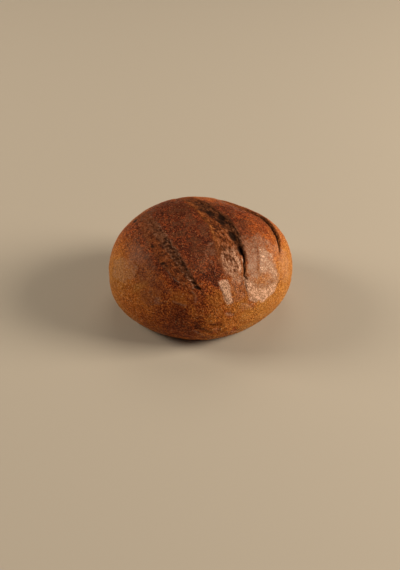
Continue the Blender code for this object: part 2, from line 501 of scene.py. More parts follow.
@dataclass(frozen=True)
class Section:
    """How a slash is cut, in millimetres at every station."""

    sink: Table
    groove: Table
    groove_width: Table
    brow: Table
    lip: Table
    brow_length: float = 14.0
    overhang: float = 0.5
    left_slope: Span = (0.35, 1.05)
    brow_slope: Span = (0.2, 1.0)
    least_groove: float = 0.3
    lip_inset: float = 1.0
    lip_width: float = 2.4

    def press(self, floor: Floor, relief: Relief) -> None:
        """Push in the floor and the groove at its bottom, and push out the brow that overhangs it.

        Args:
            floor: Where each point lies against the floor.
            relief: Takes the moves.
        """
        across = floor.across
        to_brow = across / floor.right
        beyond = across - floor.right
        far_side = np.exp(-np.maximum(beyond, 0.0) / self.brow_length)
        swell = np.where(beyond > 0.0, far_side, smooth_step(to_brow, *self.brow_slope))
        brow = floor.read(self.brow) * np.where(across > 0.0, swell, 0.0)
        on_left = 1.0 - smooth_step(-across / floor.left, *self.left_slope)
        on_right = 1.0 - smooth_step(to_brow, 0.0, 1.0)
        rise = brow - floor.read(self.sink) * np.where(across < 0.0, on_left, on_right)
        groove_width = np.maximum(floor.read(self.groove_width), self.least_groove)
        rise -= floor.read(self.groove) * bell(across, groove_width)
        rise += floor.read(self.lip) * bell(across + floor.left - self.lip_inset, self.lip_width)
        relief.rise += MM * rise
        relief.shift -= MM * self.overhang * brow


@dataclass(frozen=True)
class Crumb:
    """How torn crumb stands: the weight and the middle value of its lumps, crumbs and creases."""

    lumps: float = 0.55
    crumbs: float = 0.50
    crumbs_middle: float = 0.6
    crumb_border: float = 0.42
    creases: float = 0.40
    creases_middle: float = 0.55
    length_share: float = 0.55

    def stand(self, floor: Floor, grain: Grain) -> Array:
        """Raise and sink the crumb.

        Args:
            floor: Where each point lies against the floor.
            grain: Uneven patterns.

        Returns:
            How the crumb stands at each point, from about -1 to 1.
        """
        sheet = floor.drawn_out(self.length_share)
        crumbs = smooth_step(grain.cells(sheet, Scatter.CRUMBS)[1], 0.0, self.crumb_border)
        rough = self.lumps * grain.cloud(floor.sheet, Pattern.CRUMB_LUMPS)
        rough += self.crumbs * (crumbs - self.crumbs_middle)
        return rough + self.creases * (grain.ridges(sheet, Pattern.CRUMB_CREASES) - self.creases_middle)


@dataclass(frozen=True)
class Pit:
    """A hole where the crumb has pulled apart: its place in degrees, its size in metres."""

    reach: float
    lean: float
    radius: float
    depth: float
    stretch: float = 1.6
    shade_radius: float = 0.0016
    shade_rise: Span = (0.10, 0.42)

    def sink(self, site: Site, relief: Relief) -> None:
        """Sink the pit into the crust and paint shade into it, the more so the wider it is.

        Args:
            site: Where each point lies.
            relief: Takes the move and the mark.
        """
        apart = np.hypot(site.from_lean(self.lean), site.from_reach(self.reach) / self.stretch)
        hollow = bell(apart, self.radius)
        relief.rise -= self.depth * hollow
        relief.darken(min(1.0, self.radius / self.shade_radius) * smooth_step(hollow, *self.shade_rise))


@dataclass(frozen=True)
class PitScatter:
    """Small pits strewn over a torn floor: how many, which draw, and the ranges of their sizes."""

    count: int
    seed: int
    reaches: Span = (-24.0, 56.0)
    beta: tuple[float, float] = (1.6, 1.2)
    floor_share: float = 0.9
    radius: float = 0.7
    radius_swing: Span = (0.7, 1.2)
    stretches: Span = (0.7, 2.2)
    depth_share: float = 1.5

    def strew(self, edge: Line, brow: Line) -> list[Pit]:
        """Strew the pits between two lines, the same ones each time.

        Args:
            edge: The left edge of the floor.
            brow: Its right edge.

        Returns:
            The pits.
        """
        dice = np.random.default_rng(self.seed)
        pits = []
        for _ in range(self.count):
            reach = float(dice.uniform(*self.reaches))
            share = float(dice.beta(*self.beta)) * self.floor_share
            where = np.array([reach])
            low, high = edge.lean(where)[0], brow.lean(where)[0]
            lean = float(low + (high - low) * share)
            radius = float(dice.uniform(*self.radius_swing)) ** 3 * self.radius * MM
            stretch = float(dice.uniform(*self.stretches))
            pits.append(Pit(reach, lean, radius, radius * self.depth_share, stretch))
        return pits


@dataclass(frozen=True)
class Tear:
    """How the floor of a slash has torn: shares from 0 to 1 at every station, lengths in millimetres."""

    torn: Table
    tone: Table
    char: Table
    char_left: Table
    crack_and_shade: Table
    crack_width: Table
    edge_groove_and_shade: Table
    left_lip: Table
    right_lip_sheen: Table
    gap_shade: Table
    softness: Table
    pits: PitScatter
    holes: Table = (0.0,) * 9
    sheen_on_char: float = 0.0
    lip_width: float = 2.2
    roughness: float = 1.0
    crumb: Crumb = Crumb()
    wander: float = 1.2
    char_wander: float = 1.4
    least_softness: float = 0.6
    least_char: float = 0.5
    least_crack: float = 0.4
    right_wander_share: float = 0.5
    torn_rise: Span = (-0.7, 1.2)
    torn_fall: Span = (-1.2, 0.6)
    height_light_swing: float = 0.55
    gap_depth: float = 0.16
    gap_swing: float = 0.35
    gap_rise: Span = (0.0, 0.22)
    char_rise: Span = (-1.0, 1.2)
    char_fall: Span = (-1.4, 1.4)
    char_base: float = 0.92
    char_swing: float = 0.35
    hole_rise: Span = (0.12, 0.42)
    hole_depth: float = 0.8
    hole_length_share: float = 0.6
    sheen_on_char_tone: float = 0.32
    crack_depth: float = 2.2
    crack_wander_share: float = 0.25
    crack_rise: Span = (0.15, 0.75)
    edge_depth: float = 0.5
    edge_width: float = 0.9
    edge_shade_width: float = 0.7
    left_lip_inset: float = 1.6
    left_lip_base: float = 0.75
    left_lip_swing: float = 0.5
    right_lip_base: float = 0.55
    right_lip_swing: float = 0.8
    right_lip_wander_share: float = 0.8
    right_lip_width: float = 1.0
    right_lip_tone: float = 0.45

    def rip(self, floor: Floor, relief: Relief, grain: Grain) -> tuple[Array, Array]:
        """Tear the floor into crumbs and mark it, painting light on raised crumb and shade on sunk crumb
        and gaps.

        Args:
            floor: Where each point lies against the floor.
            relief: Takes the marks.
            grain: Uneven patterns.

        Returns:
            How torn each point is, and how its crumb stands, from about -1 to 1.
        """
        wander = self.wander * grain.cloud(floor.sheet, Pattern.TORN_EDGE)
        softness = np.maximum(floor.read(self.softness), self.least_softness)
        torn = smooth_step((floor.across + floor.left + wander) / softness, *self.torn_rise)
        past_right = floor.across - floor.right + wander * self.right_wander_share
        torn *= 1.0 - smooth_step(past_right, *self.torn_fall)
        torn *= floor.read(self.torn)
        rough = self.crumb.stand(floor, grain)
        # Raised crumb is painted paler and sunk crumb darker, as light and shade.
        tone = floor.read(self.tone) + self.height_light_swing * rough
        relief.crumb = np.where(torn > relief.torn, tone, relief.crumb)
        relief.torn = np.maximum(relief.torn, torn)
        # Gaps between the crumbs are painted dark, as shade.
        hollow = -rough - self.gap_depth + self.gap_swing * grain.cloud(floor.sheet, Pattern.CRUMB_GAPS)
        relief.darken(floor.read(self.gap_shade) * torn * smooth_step(hollow, *self.gap_rise))
        return torn, rough

    def scorch(self, floor: Floor, rough: Array, relief: Relief, grain: Grain) -> None:
        """Char the deep side of the floor, sink holes into it painted dark as burnt and shaded, and lay a
        painted sheen over it.

        Args:
            floor: Where each point lies against the floor.
            rough: How the crumb stands.
            relief: Takes the moves and marks.
            grain: Uneven patterns.
        """
        reach_left = np.maximum(floor.read(self.char_left), self.least_char)
        band = smooth_step(floor.across + reach_left + floor.ragged, *self.char_rise)
        band *= 1.0 - smooth_step(floor.across - floor.right + floor.ragged, *self.char_fall)
        char = floor.read(self.char) * band
        relief.char = np.maximum(relief.char, char * (self.char_base + self.char_swing * rough))
        sheet = floor.drawn_out(self.hole_length_share)
        holes = smooth_step(grain.cloud(sheet, Pattern.BURNT_SHADED_HOLES), *self.hole_rise)
        holes *= floor.read(self.holes) * band
        # The holes are painted dark: burnt, and shaded.
        relief.darken(holes)
        relief.rise -= self.hole_depth * MM * holes
        # A glaze film over the char, whose pale tone is a painted sheen.
        relief.coat(self.sheen_on_char * char, self.sheen_on_char_tone)

    def split(self, floor: Floor, relief: Relief) -> None:
        """Split the floor along its bottom, and along its left edge, and paint shade into both splits.

        Args:
            floor: Where each point lies against the floor.
            relief: Takes the moves and marks.
        """
        crack_width = np.maximum(floor.read(self.crack_width), self.least_crack)
        from_crack = floor.across + floor.ragged * self.crack_wander_share
        crack_and_shade = floor.read(self.crack_and_shade) * bell(from_crack, crack_width)
        relief.rise -= self.crack_depth * MM * crack_and_shade
        # The crack is painted dark, as soot and shade.
        relief.darken(smooth_step(crack_and_shade, *self.crack_rise))
        # The left edge is grooved, and painted dark as shade.
        edge_groove_and_shade = floor.read(self.edge_groove_and_shade)
        relief.darken(edge_groove_and_shade * bell(floor.from_edge, self.edge_shade_width))
        relief.rise -= self.edge_depth * MM * edge_groove_and_shade * bell(floor.from_edge, self.edge_width)

    def light(self, floor: Floor, rough: Array, relief: Relief) -> None:
        """Paint the lip on the left of the floor pale and lit, and a glaze with painted sheen on the thin
        one on its right.

        Args:
            floor: Where each point lies against the floor.
            rough: How the crumb stands.
            relief: Takes the marks.
        """
        lit = floor.read(self.left_lip) * (self.left_lip_base + self.left_lip_swing * rough)
        relief.light(lit * bell(floor.from_edge - self.left_lip_inset, self.lip_width))
        thin = np.clip(self.right_lip_base + self.right_lip_swing * rough, 0.0, 1.0)
        from_right = floor.across - floor.right + floor.ragged * self.right_lip_wander_share
        glaze_and_sheen = floor.read(self.right_lip_sheen) * thin * bell(from_right, self.right_lip_width)
        relief.coat(glaze_and_sheen, self.right_lip_tone)


@dataclass(frozen=True)
class Slash:
    """One slash across the crown: its three lines, its section and how its floor has torn."""

    edge: Line
    bottom: Line
    brow: Line
    section: Section
    tear: Tear
    least_width: float = 0.5
    bend: float = 0.8
    bend_share: tuple[float, float, float] = (0.25, 1.0, 1.0)
    height_share: float = 0.3

    def cut(self, site: Site, relief: Relief, grain: Grain) -> None:
        """Cut the slash into the crust, with its pits.

        Args:
            site: Where each point lies.
            relief: The moves and marks that the slash is added to.
            grain: Uneven patterns for the torn floor.
        """
        floor = self._floor(site, grain)
        self.section.press(floor, relief)
        torn, rough = self.tear.rip(floor, relief, grain)
        self.tear.scorch(floor, rough, relief, grain)
        self.tear.split(floor, relief)
        self.tear.light(floor, rough, relief)
        relief.rise += self.tear.roughness * MM * torn * rough
        for pit in self.tear.pits.strew(self.edge, self.brow):
            pit.sink(site, relief)

    def _floor(self, site: Site, grain: Grain) -> Floor:
        """Measure each point against the floor.

        Args:
            site: Where each point lies.
            grain: Bends the bottom line and frays the charred band.

        Returns:
            The floor's measures at each point.
        """
        across = site.from_line(self.bottom)
        left = (site.from_line(self.edge) - across) / MM
        right = (across - site.from_line(self.brow)) / MM
        sheet = np.stack([across, site.from_reach(0.0), site.point[:, 2] * self.height_share], axis=-1)
        bend = self.bend * grain.cloud(sheet * np.array(self.bend_share), Pattern.FLOOR_BEND)
        ragged = self.tear.char_wander * self.tear.roughness * grain.cloud(sheet, Pattern.CHAR_EDGE)
        return Floor(
            reach=site.reach,
            across=across / MM + bend,
            left=np.maximum(left, self.least_width),
            right=np.maximum(right, self.least_width),
            ragged=ragged,
            sheet=sheet,
        )


@dataclass(frozen=True)
class Crease:
    """A fold in the crust along a path of azimuths and elevations; what lies left of it is raised, with
    painted shade in its groove and a painted highlight beside it.
    """

    path: Corners
    rise: float = 0.0006
    width: float = 0.0008
    trail: float = 0.010
    groove: float = 0.0003
    dark: float = 0.5
    pale: float = 0.4
    bend: float = 0.0006
    start_rise: Span = (-0.02, 0.12)
    end_fall: Span = (0.86, 1.02)
    furthest: float = 0.06
    shade_share: float = 0.9
    highlight_inset: float = 1.6
    highlight_tone: float = 0.80

    def fold(self, site: Site, relief: Relief, grain: Grain) -> None:
        """Fold the crust along the path.

        Args:
            site: Where each point lies.
            relief: Takes the moves and marks.
            grain: Makes the path wander a little.
        """
        across, ahead = self._from_path(site)
        across = across + self.bend * grain.cloud(site.point, Pattern.CREASE_BEND)
        ends = smooth_step(ahead, *self.start_rise) * (1.0 - smooth_step(ahead, *self.end_fall))
        near = ends * (np.abs(across) < self.furthest)
        climb = smooth_step(across, -self.width, self.width)
        fall = np.exp(-np.maximum(across, 0.0) / self.trail)
        relief.rise += near * (self.rise * climb * fall - self.groove * bell(across, self.width))
        # Dark paints shade into the fold; pale paints a highlight beside it, as a glaze film.
        relief.darken(near * self.dark * bell(across, self.width * self.shade_share))
        lit = bell(across - self.width * self.highlight_inset, self.width)
        relief.coat(near * self.pale * lit, self.highlight_tone)

    def _from_path(self, site: Site) -> tuple[Array, Array]:
        """Measure each point against the path.

        Args:
            site: Where each point lies.

        Returns:
            The distance in metres from the path, positive to its left, and the share of its length.
        """
        corners = [direction_at(*corner) for corner in self.path]
        lengths = [float(np.linalg.norm(b - a)) for a, b in zip(corners[:-1], corners[1:])]
        radius = np.linalg.norm(site.point - UP * GIRTH_HEIGHT, axis=-1)
        nearest = np.full(radius.shape, FAR)
        across = np.full(radius.shape, FAR)
        ahead = np.zeros(radius.shape)
        gone = 0.0
        for start, finish, length in zip(corners[:-1], corners[1:], lengths):
            run = (site.direction - start) @ (finish - start) / length**2
            share = np.clip(run, 0.0, 1.0)
            apart = np.linalg.norm(site.direction - start - share[:, None] * (finish - start), axis=-1)
            side = np.sign(site.direction @ np.cross(start, finish))
            closer = apart < nearest
            nearest = np.where(closer, apart, nearest)
            across = np.where(closer, apart * side * radius, across)
            reached = np.where((run < 0.0) & (gone == 0.0), run, share)
            ahead = np.where(closer, (gone + reached * length) / sum(lengths), ahead)
            gone += length
        return across, ahead


@dataclass(frozen=True)
class Field:
    """A field of the crust inside an outline of azimuths and elevations: glazed with painted sheen, browner
    or paler.

    A cover below 0 wears the film that is already there.  What is flattened loses a share of its curve.
    """

    corners: Corners
    tone: float = 0.0
    cover: float = 0.0
    bake: float = 0.0
    soft: float = 0.6
    wander: float = 0.9
    rise: float = 0.0
    flatten: float = 0.0
    least_facing: float = 0.6
    fringe: float = 0.5
    crust_radius: float = 0.1
    most_sag: float = 0.008

    def lay(self, site: Site, relief: Relief, grain: Grain) -> None:
        """Lay the field on the crust.

        Args:
            site: Where each point lies.
            relief: Takes the moves and the marks.
            grain: Makes the outline wander a little.
        """
        cover, from_centre = self._cover(site, grain)
        relief.rise += self.rise * cover
        if self.flatten:
            sag = self.crust_radius * np.radians(from_centre) ** 2 / 2.0
            relief.rise += self.flatten * cover * np.minimum(sag, self.most_sag)
        relief.bake += self.bake * cover
        if self.cover > 0.0:
            relief.coat(self.cover * cover, self.tone)
        elif self.cover < 0.0:
            relief.glaze_and_sheen *= 1.0 + self.cover * cover

    def _cover(self, site: Site, grain: Grain) -> tuple[Array, Array]:
        """Find which points the field covers.

        Args:
            site: Where each point lies.
            grain: Makes the outline wander a little.

        Returns:
            How fully each point is covered, and its distance in degrees from the field's middle.
        """
        corners = np.array([direction_at(*corner) for corner in self.corners])
        centre = unit(corners.mean(axis=0))
        aside = unit(np.cross(UP, centre))
        axes = np.stack([aside, np.cross(centre, aside)], axis=-1)
        facing = site.direction @ centre
        near = np.flatnonzero(facing > self.least_facing)
        flat = np.degrees(site.direction[near] @ axes / facing[near, None])
        outline = np.degrees(corners @ axes / (corners @ centre)[:, None])
        inside = self._inside_distance(flat, outline)
        inside += self.wander * grain.cloud(site.point[near], Pattern.FIELD_EDGE)
        inside += self.fringe * self.wander * grain.cloud(site.point[near], Pattern.FIELD_FRINGE)
        cover, from_centre = np.zeros(len(facing)), np.zeros(len(facing))
        cover[near] = smooth_step(inside, -self.soft, self.soft)
        from_centre[near] = np.hypot(*flat.T)
        return cover, from_centre

    @staticmethod
    def _inside_distance(points: Array, corners: Array) -> Array:
        """Measure how deep points lie inside a closed outline.

        Args:
            points: Flat places, as rows of two.
            corners: The outline's corners, as rows of two.

        Returns:
            The distance from the outline, positive inside.
        """
        nearest = np.full(len(points), FAR)
        inside = np.zeros(len(points), dtype=bool)
        for start, finish in zip(corners, np.roll(corners, -1, axis=0)):
            run = finish - start
            share = np.clip((points - start) @ run / (run @ run), 0.0, 1.0)
            apart = np.linalg.norm(points - start - share[:, None] * run, axis=-1)
            nearest = np.minimum(nearest, apart)
            if run[1] != 0.0:
                crosses = (start[1] > points[:, 1]) != (finish[1] > points[:, 1])
                inside ^= crosses & (points[:, 0] < start[0] + (points[:, 1] - start[1]) * run[0] / run[1])
        return np.where(inside, nearest, -nearest)


LEFT_SLASH = Slash(
    Line.LEFT_EDGE, Line.LEFT_BOTTOM, Line.LEFT_BROW,
    Section(
        sink=(0.0, 0.5, 0.8, 1.0, 1.1, 1.2, 1.0, 0.3, 0.0),
        groove=(0.0, 0.1, 0.2, 0.3, 0.4, 0.5, 0.7, 0.3, 0.0),
        groove_width=(3.0, 3.0, 3.0, 2.6, 2.4, 2.2, 1.4, 1.0, 1.0),
        brow=(0.0, 0.4, 0.6, 0.7, 0.8, 0.8, 0.6, 0.2, 0.0),
        lip=(0.0, 0.2, 0.3, 0.3, 0.4, 0.5, 0.4, 0.1, 0.0),
        brow_length=10.0,
    ),
    Tear(
        torn=(0.0, 0.5, 0.6, 0.8, 0.9, 0.9, 0.8, 0.2, 0.0),
        tone=(0.62, 0.62, 0.60, 0.48, 0.43, 0.42, 0.50, 0.5, 0.5),
        char=(0.0, 0.1, 0.25, 0.4, 0.5, 0.5, 0.4, 0.1, 0.0),
        char_left=(2.0, 3.0, 4.0, 5.0, 5.5, 4.5, 3.0, 1.0, 1.0),
        crack_and_shade=(0.0, 0.0, 0.0, 0.0, 0.0, 0.0, 0.3, 0.1, 0.0),
        crack_width=(0.8, 0.8, 0.8, 0.8, 0.8, 0.8, 0.9, 0.8, 0.8),
        edge_groove_and_shade=(0.0, 0.45, 0.2, 0.15, 0.2, 0.25, 0.2, 0.1, 0.0),
        left_lip=(0.0, 0.0, 0.08, 0.15, 0.25, 0.35, 0.30, 0.0, 0.0),
        right_lip_sheen=(0.0, 0.4, 0.8, 1.0, 0.9, 0.6, 0.3, 0.0, 0.0),
        gap_shade=(0.0, 0.1, 0.15, 0.2, 0.25, 0.3, 0.3, 0.1, 0.0),
        softness=(2.0, 2.0, 2.0, 2.0, 1.6, 1.2, 1.6, 2.0, 2.0),
        holes=(0.0, 0.3, 0.5, 0.7, 0.8, 0.8, 0.7, 0.2, 0.0),
        sheen_on_char=1.3, lip_width=0.9, roughness=0.7, pits=PitScatter(26, 4),
    ),
)
MIDDLE_SLASH = Slash(
    Line.MIDDLE_EDGE, Line.MIDDLE_BOTTOM, Line.MIDDLE_BROW,
    Section(
        sink=(0.0, 1.0, 1.8, 2.2, 2.6, 2.8, 2.4, 1.2, 0.0),
        groove=(0.0, 0.8, 1.4, 2.0, 2.6, 3.2, 4.2, 0.2, 0.0),
        groove_width=(4.0, 4.0, 4.0, 4.0, 3.8, 3.0, 1.8, 1.1, 1.0),
        brow=(0.0, 0.6, 1.2, 1.8, 2.2, 2.4, 2.4, 0.5, 0.0),
        lip=(0.0, 0.6, 1.0, 1.2, 1.3, 0.9, 0.2, 0.0, 0.0),
        brow_length=16.0,
    ),
    Tear(
        torn=(0.0, 0.3, 0.9, 1.0, 1.0, 1.0, 1.0, 0.5, 0.0),
        tone=(0.35, 0.38, 0.42, 0.41, 0.43, 0.62, 0.72, 0.66, 0.5),
        char=(0.0, 0.2, 0.75, 0.8, 0.85, 0.9, 0.8, 0.3, 0.0),
        char_left=(6.0, 8.0, 8.0, 6.4, 7.0, 4.8, 1.0, 0.5, 0.5),
        crack_and_shade=(0.0, 0.0, 0.0, 0.0, 0.0, 0.1, 0.95, 0.0, 0.0),
        crack_width=(1.2, 1.2, 1.2, 1.2, 1.2, 1.6, 1.35, 0.8, 0.8),
        edge_groove_and_shade=(0.0,) * 9,
        left_lip=(0.0, 0.2, 0.45, 0.60, 0.78, 0.45, 0.0, 0.0, 0.0),
        right_lip_sheen=(0.0,) * 9,
        gap_shade=(0.0, 0.1, 0.2, 0.3, 0.35, 0.40, 0.30, 0.1, 0.0),
        softness=(1.0, 1.0, 1.0, 1.0, 1.4, 3.5, 6.0, 7.0, 7.0),
        holes=(0.0, 0.1, 0.8, 1.0, 1.0, 0.9, 0.4, 0.0, 0.0),
        sheen_on_char=0.1, lip_width=2.8, roughness=1.3, pits=PitScatter(20, 9),
    ),
)
RIGHT_SLASH = Slash(
    Line.RIGHT_EDGE, Line.RIGHT_BOTTOM, Line.RIGHT_BROW,
    Section(
        sink=(0.0, 1.4, 2.2, 2.4, 2.2, 1.8, 1.2, 0.3, 0.0),
        groove=(0.0, 1.2, 2.4, 3.4, 3.8, 3.8, 3.2, 0.6, 0.0),
        groove_width=(1.8, 1.8, 1.8, 1.8, 1.7, 1.5, 1.3, 1.0, 1.0),
        brow=(0.0, 0.8, 1.4, 1.8, 1.8, 1.6, 1.2, 0.2, 0.0),
        lip=(0.0,) * 9,
        brow_length=12.0,
        overhang=0.6,
    ),
    Tear(
        torn=(0.0, 0.6, 0.8, 0.9, 0.9, 0.8, 0.6, 0.0, 0.0),
        tone=(0.4, 0.4, 0.4, 0.4, 0.4, 0.42, 0.45, 0.5, 0.5),
        char=(0.0, 0.1, 0.2, 0.5, 0.75, 0.6, 0.3, 0.0, 0.0),
        char_left=(5.0, 5.0, 5.0, 5.0, 5.0, 4.0, 2.0, 1.0, 1.0),
        crack_and_shade=(0.0, 0.1, 0.3, 0.9, 1.4, 1.4, 1.4, 0.2, 0.0),
        crack_width=(1.2, 1.2, 1.2, 1.4, 1.7, 1.5, 1.2, 0.8, 0.8),
        edge_groove_and_shade=(0.0,) * 9,
        left_lip=(0.0,) * 9,
        right_lip_sheen=(0.0, 0.1, 0.2, 0.25, 0.25, 0.25, 0.15, 0.0, 0.0),
        gap_shade=(0.0, 0.0, 0.2, 0.3, 0.3, 0.2, 0.1, 0.0, 0.0),
        softness=(4.0,) * 9,
        roughness=0.6, pits=PitScatter(8, 2),
    ),
)

PITS: tuple[Pit, ...] = (
    # Along the bottom of the middle slash.
    Pit(0.0, 14.0, 0.0025, 0.0034, 1.8), Pit(5.0, 15.0, 0.0015, 0.0018),
    Pit(11.0, 19.5, 0.0034, 0.0050, 1.3), Pit(16.0, 16.0, 0.0029, 0.0040, 1.5),
    Pit(31.5, 17.0, 0.0034, 0.0052, 1.8), Pit(34.5, 17.0, 0.0015, 0.0020),
    Pit(44.5, 17.5, 0.0028, 0.0040, 1.8),
    # On its left floor and its torn mouth.
    Pit(37.0, 2.0, 0.0011, 0.0015), Pit(39.5, 2.5, 0.0012, 0.0015), Pit(40.0, 8.0, 0.0012, 0.0016),
    Pit(42.0, 6.5, 0.0011, 0.0013), Pit(43.0, 0.0, 0.0010, 0.0013), Pit(48.0, 3.5, 0.0010, 0.0012),
    Pit(48.0, 6.5, 0.0012, 0.0014), Pit(51.0, 7.5, 0.0010, 0.0012), Pit(54.0, 8.0, 0.0008, 0.0010),
    # In and beside the left slash.
    Pit(-41.5, -38.5, 0.0021, 0.0030, 2.2), Pit(-34.0, -39.5, 0.0011, 0.0012),
    Pit(-24.0, -40.0, 0.0009, 0.0012), Pit(-18.0, -32.5, 0.0008, 0.0010), Pit(6.0, -42.0, 0.0015, 0.0018),
    Pit(11.0, -33.0, 0.0011, 0.0014), Pit(16.0, -33.5, 0.0012, 0.0016), Pit(24.0, -34.0, 0.0011, 0.0014),
    Pit(31.0, -36.0, 0.0012, 0.0016), Pit(34.0, -37.0, 0.0010, 0.0013), Pit(38.0, -36.5, 0.0011, 0.0014),
    Pit(28.0, -46.0, 0.0015, 0.0020), Pit(31.5, -45.5, 0.0012, 0.0014), Pit(35.0, -46.5, 0.0008, 0.0012),
    Pit(25.0, -47.0, 0.0008, 0.0010), Pit(49.0, -40.0, 0.0009, 0.0012), Pit(54.0, -42.0, 0.0014, 0.0020),
    Pit(58.5, -43.5, 0.0017, 0.0026, 1.6),
    # Low on the right flank.
    Pit(77.0, 69.0, 0.0010, 0.0010),
)

CREASES: tuple[Crease, ...] = (
    # The hooked edge of the glaze on the right shoulder.
    Crease(
        ((-31, 39), (-38, 33), (-45, 28), (-46, 25), (-42, 22)),
        rise=0.0009, trail=0.004, groove=0.0005, dark=0.3, pale=0.35,
    ),
    # The open hook where the middle slash ends.
    Crease(
        ((-54, 33), (-57, 30), (-58, 29), (-57, 27), (-57, 25)),
        rise=0.0004, width=0.0011, trail=0.003, groove=0.0018, dark=1.0, pale=0.3,
    ),
    # A curled flake at the foot of the left slash.
    Crease(
        ((-104, 34), (-99, 31), (-97, 28)),
        rise=0.0009, width=0.0009, trail=0.0016, dark=0.0, pale=1.0,
    ),
    # The long fold from the middle slash down the front.
    Crease(
        ((-85, 49), (-82, 42), (-81, 36), (-80, 31), (-78, 26), (-77, 21), (-74, 14)),
        rise=0.0014, trail=0.014, dark=0.15, pale=0.12,
    ),
    # The left edge of the front plate.
    Crease(((-58, 27), (-59, 24), (-60, 19), (-60, 13)), rise=0.001, trail=0.012, dark=0.1, pale=0.7),
    # The front plate's lower edge.
    Crease(((-59, 13), (-53, 9), (-46, 7), (-41, 8), (-35, 10)), rise=0.0009, dark=0.1),
    # The right edge of the shoulder plate.
    Crease(((-31, 17), (-30, 22), (-26, 28), (-29, 32), (-28, 36), (-28, 39)), dark=0.05, pale=0.3),
    # The shoulder plate's upper left edge.
    Crease(
        ((-28, 39), (-35, 36), (-42, 32), (-46, 26), (-43, 22), (-38, 20)),
        rise=0.0008, dark=0.2, pale=0.2,
    ),
    # The strip's right side.
    Crease(((-63, 16), (-67, 15), (-70, 18), (-70, 23), (-71, 28)), rise=0.0009, dark=0.15, pale=0.3),
    # Folds and ridges low on the front.
    Crease(
        ((-85, -9), (-89, -6), (-94, -4), (-98, -2)),
        rise=-0.0014, width=0.0016, trail=0.006, groove=0.001, dark=0.55, pale=0.0,
    ),
    Crease(
        ((-90, -9), (-95, -7), (-98, -4)),
        rise=0.0009, width=0.001, trail=0.003, groove=0.0, dark=0.0, pale=0.35,
    ),
    Crease(
        ((-79, -2), (-83, -1), (-88, 0)),
        rise=-0.0012, width=0.0016, trail=0.006, groove=0.0009, dark=0.55, pale=0.0,
    ),
    Crease(
        ((-79, -5), (-82, -4), (-86, -4)),
        rise=0.0009, width=0.001, trail=0.003, groove=0.0, dark=0.0, pale=0.35,
    ),
    Crease(
        ((-93, -1), (-97, 1), (-101, 2)),
        rise=-0.0009, width=0.0014, trail=0.006, groove=0.0006, pale=0.0,
    ),
    # Small folds on the left flank and along the left slash.
    Crease(((-154, 32), (-150, 32), (-146, 31)), rise=0.0005, groove=0.0006, dark=0.45, pale=0.3),
    Crease(
        ((-108, 31), (-115, 34), (-122, 38), (-131, 41)),
        width=0.0007, trail=0.002, groove=0.0, dark=0.0, pale=0.45,
    ),
    # Short folds under the plates and the strip.
    Crease(((-64, -14), (-69, -11), (-72, -9)), rise=0.0007, width=0.0012, groove=0.0006),
    Crease(((-56, 10), (-59, 9), (-62, 12), (-66, 13)), rise=0.001, width=0.001, dark=0.35),
    Crease(((-70, 6), (-73, 7), (-76, 9)), rise=-0.0008, width=0.0014, dark=0.35, pale=0.5),
    # Short folds left of the front.
    Crease(((-101, 26), (-98, 22), (-98, 17)), width=0.001, dark=0.3, pale=0.3),
    Crease(((-114, 16), (-108, 15), (-103, 14)), width=0.0012, dark=0.3, pale=0.3),
    Crease(((-124, 13), (-127, 17), (-131, 21)), rise=0.0009, trail=0.007, dark=0.25),
    Crease(
        ((-147, 23), (-145, 28), (-146, 31), (-150, 32), (-155, 32)),
        rise=0.0008, width=0.0012, trail=0.014, dark=0.4, pale=0.3,
    ),
    # A short cut left of the right slash.
    Crease(((14, 47), (20, 49), (26, 51)), width=0.0009, groove=0.0016, dark=1.0, pale=0.5),
    # The lit lip at the mouth of the middle slash.
    Crease(((-52, 40), (-54, 37), (-57, 32)), rise=0.0009, width=0.001, trail=0.002, dark=0.1, pale=1.0),
)
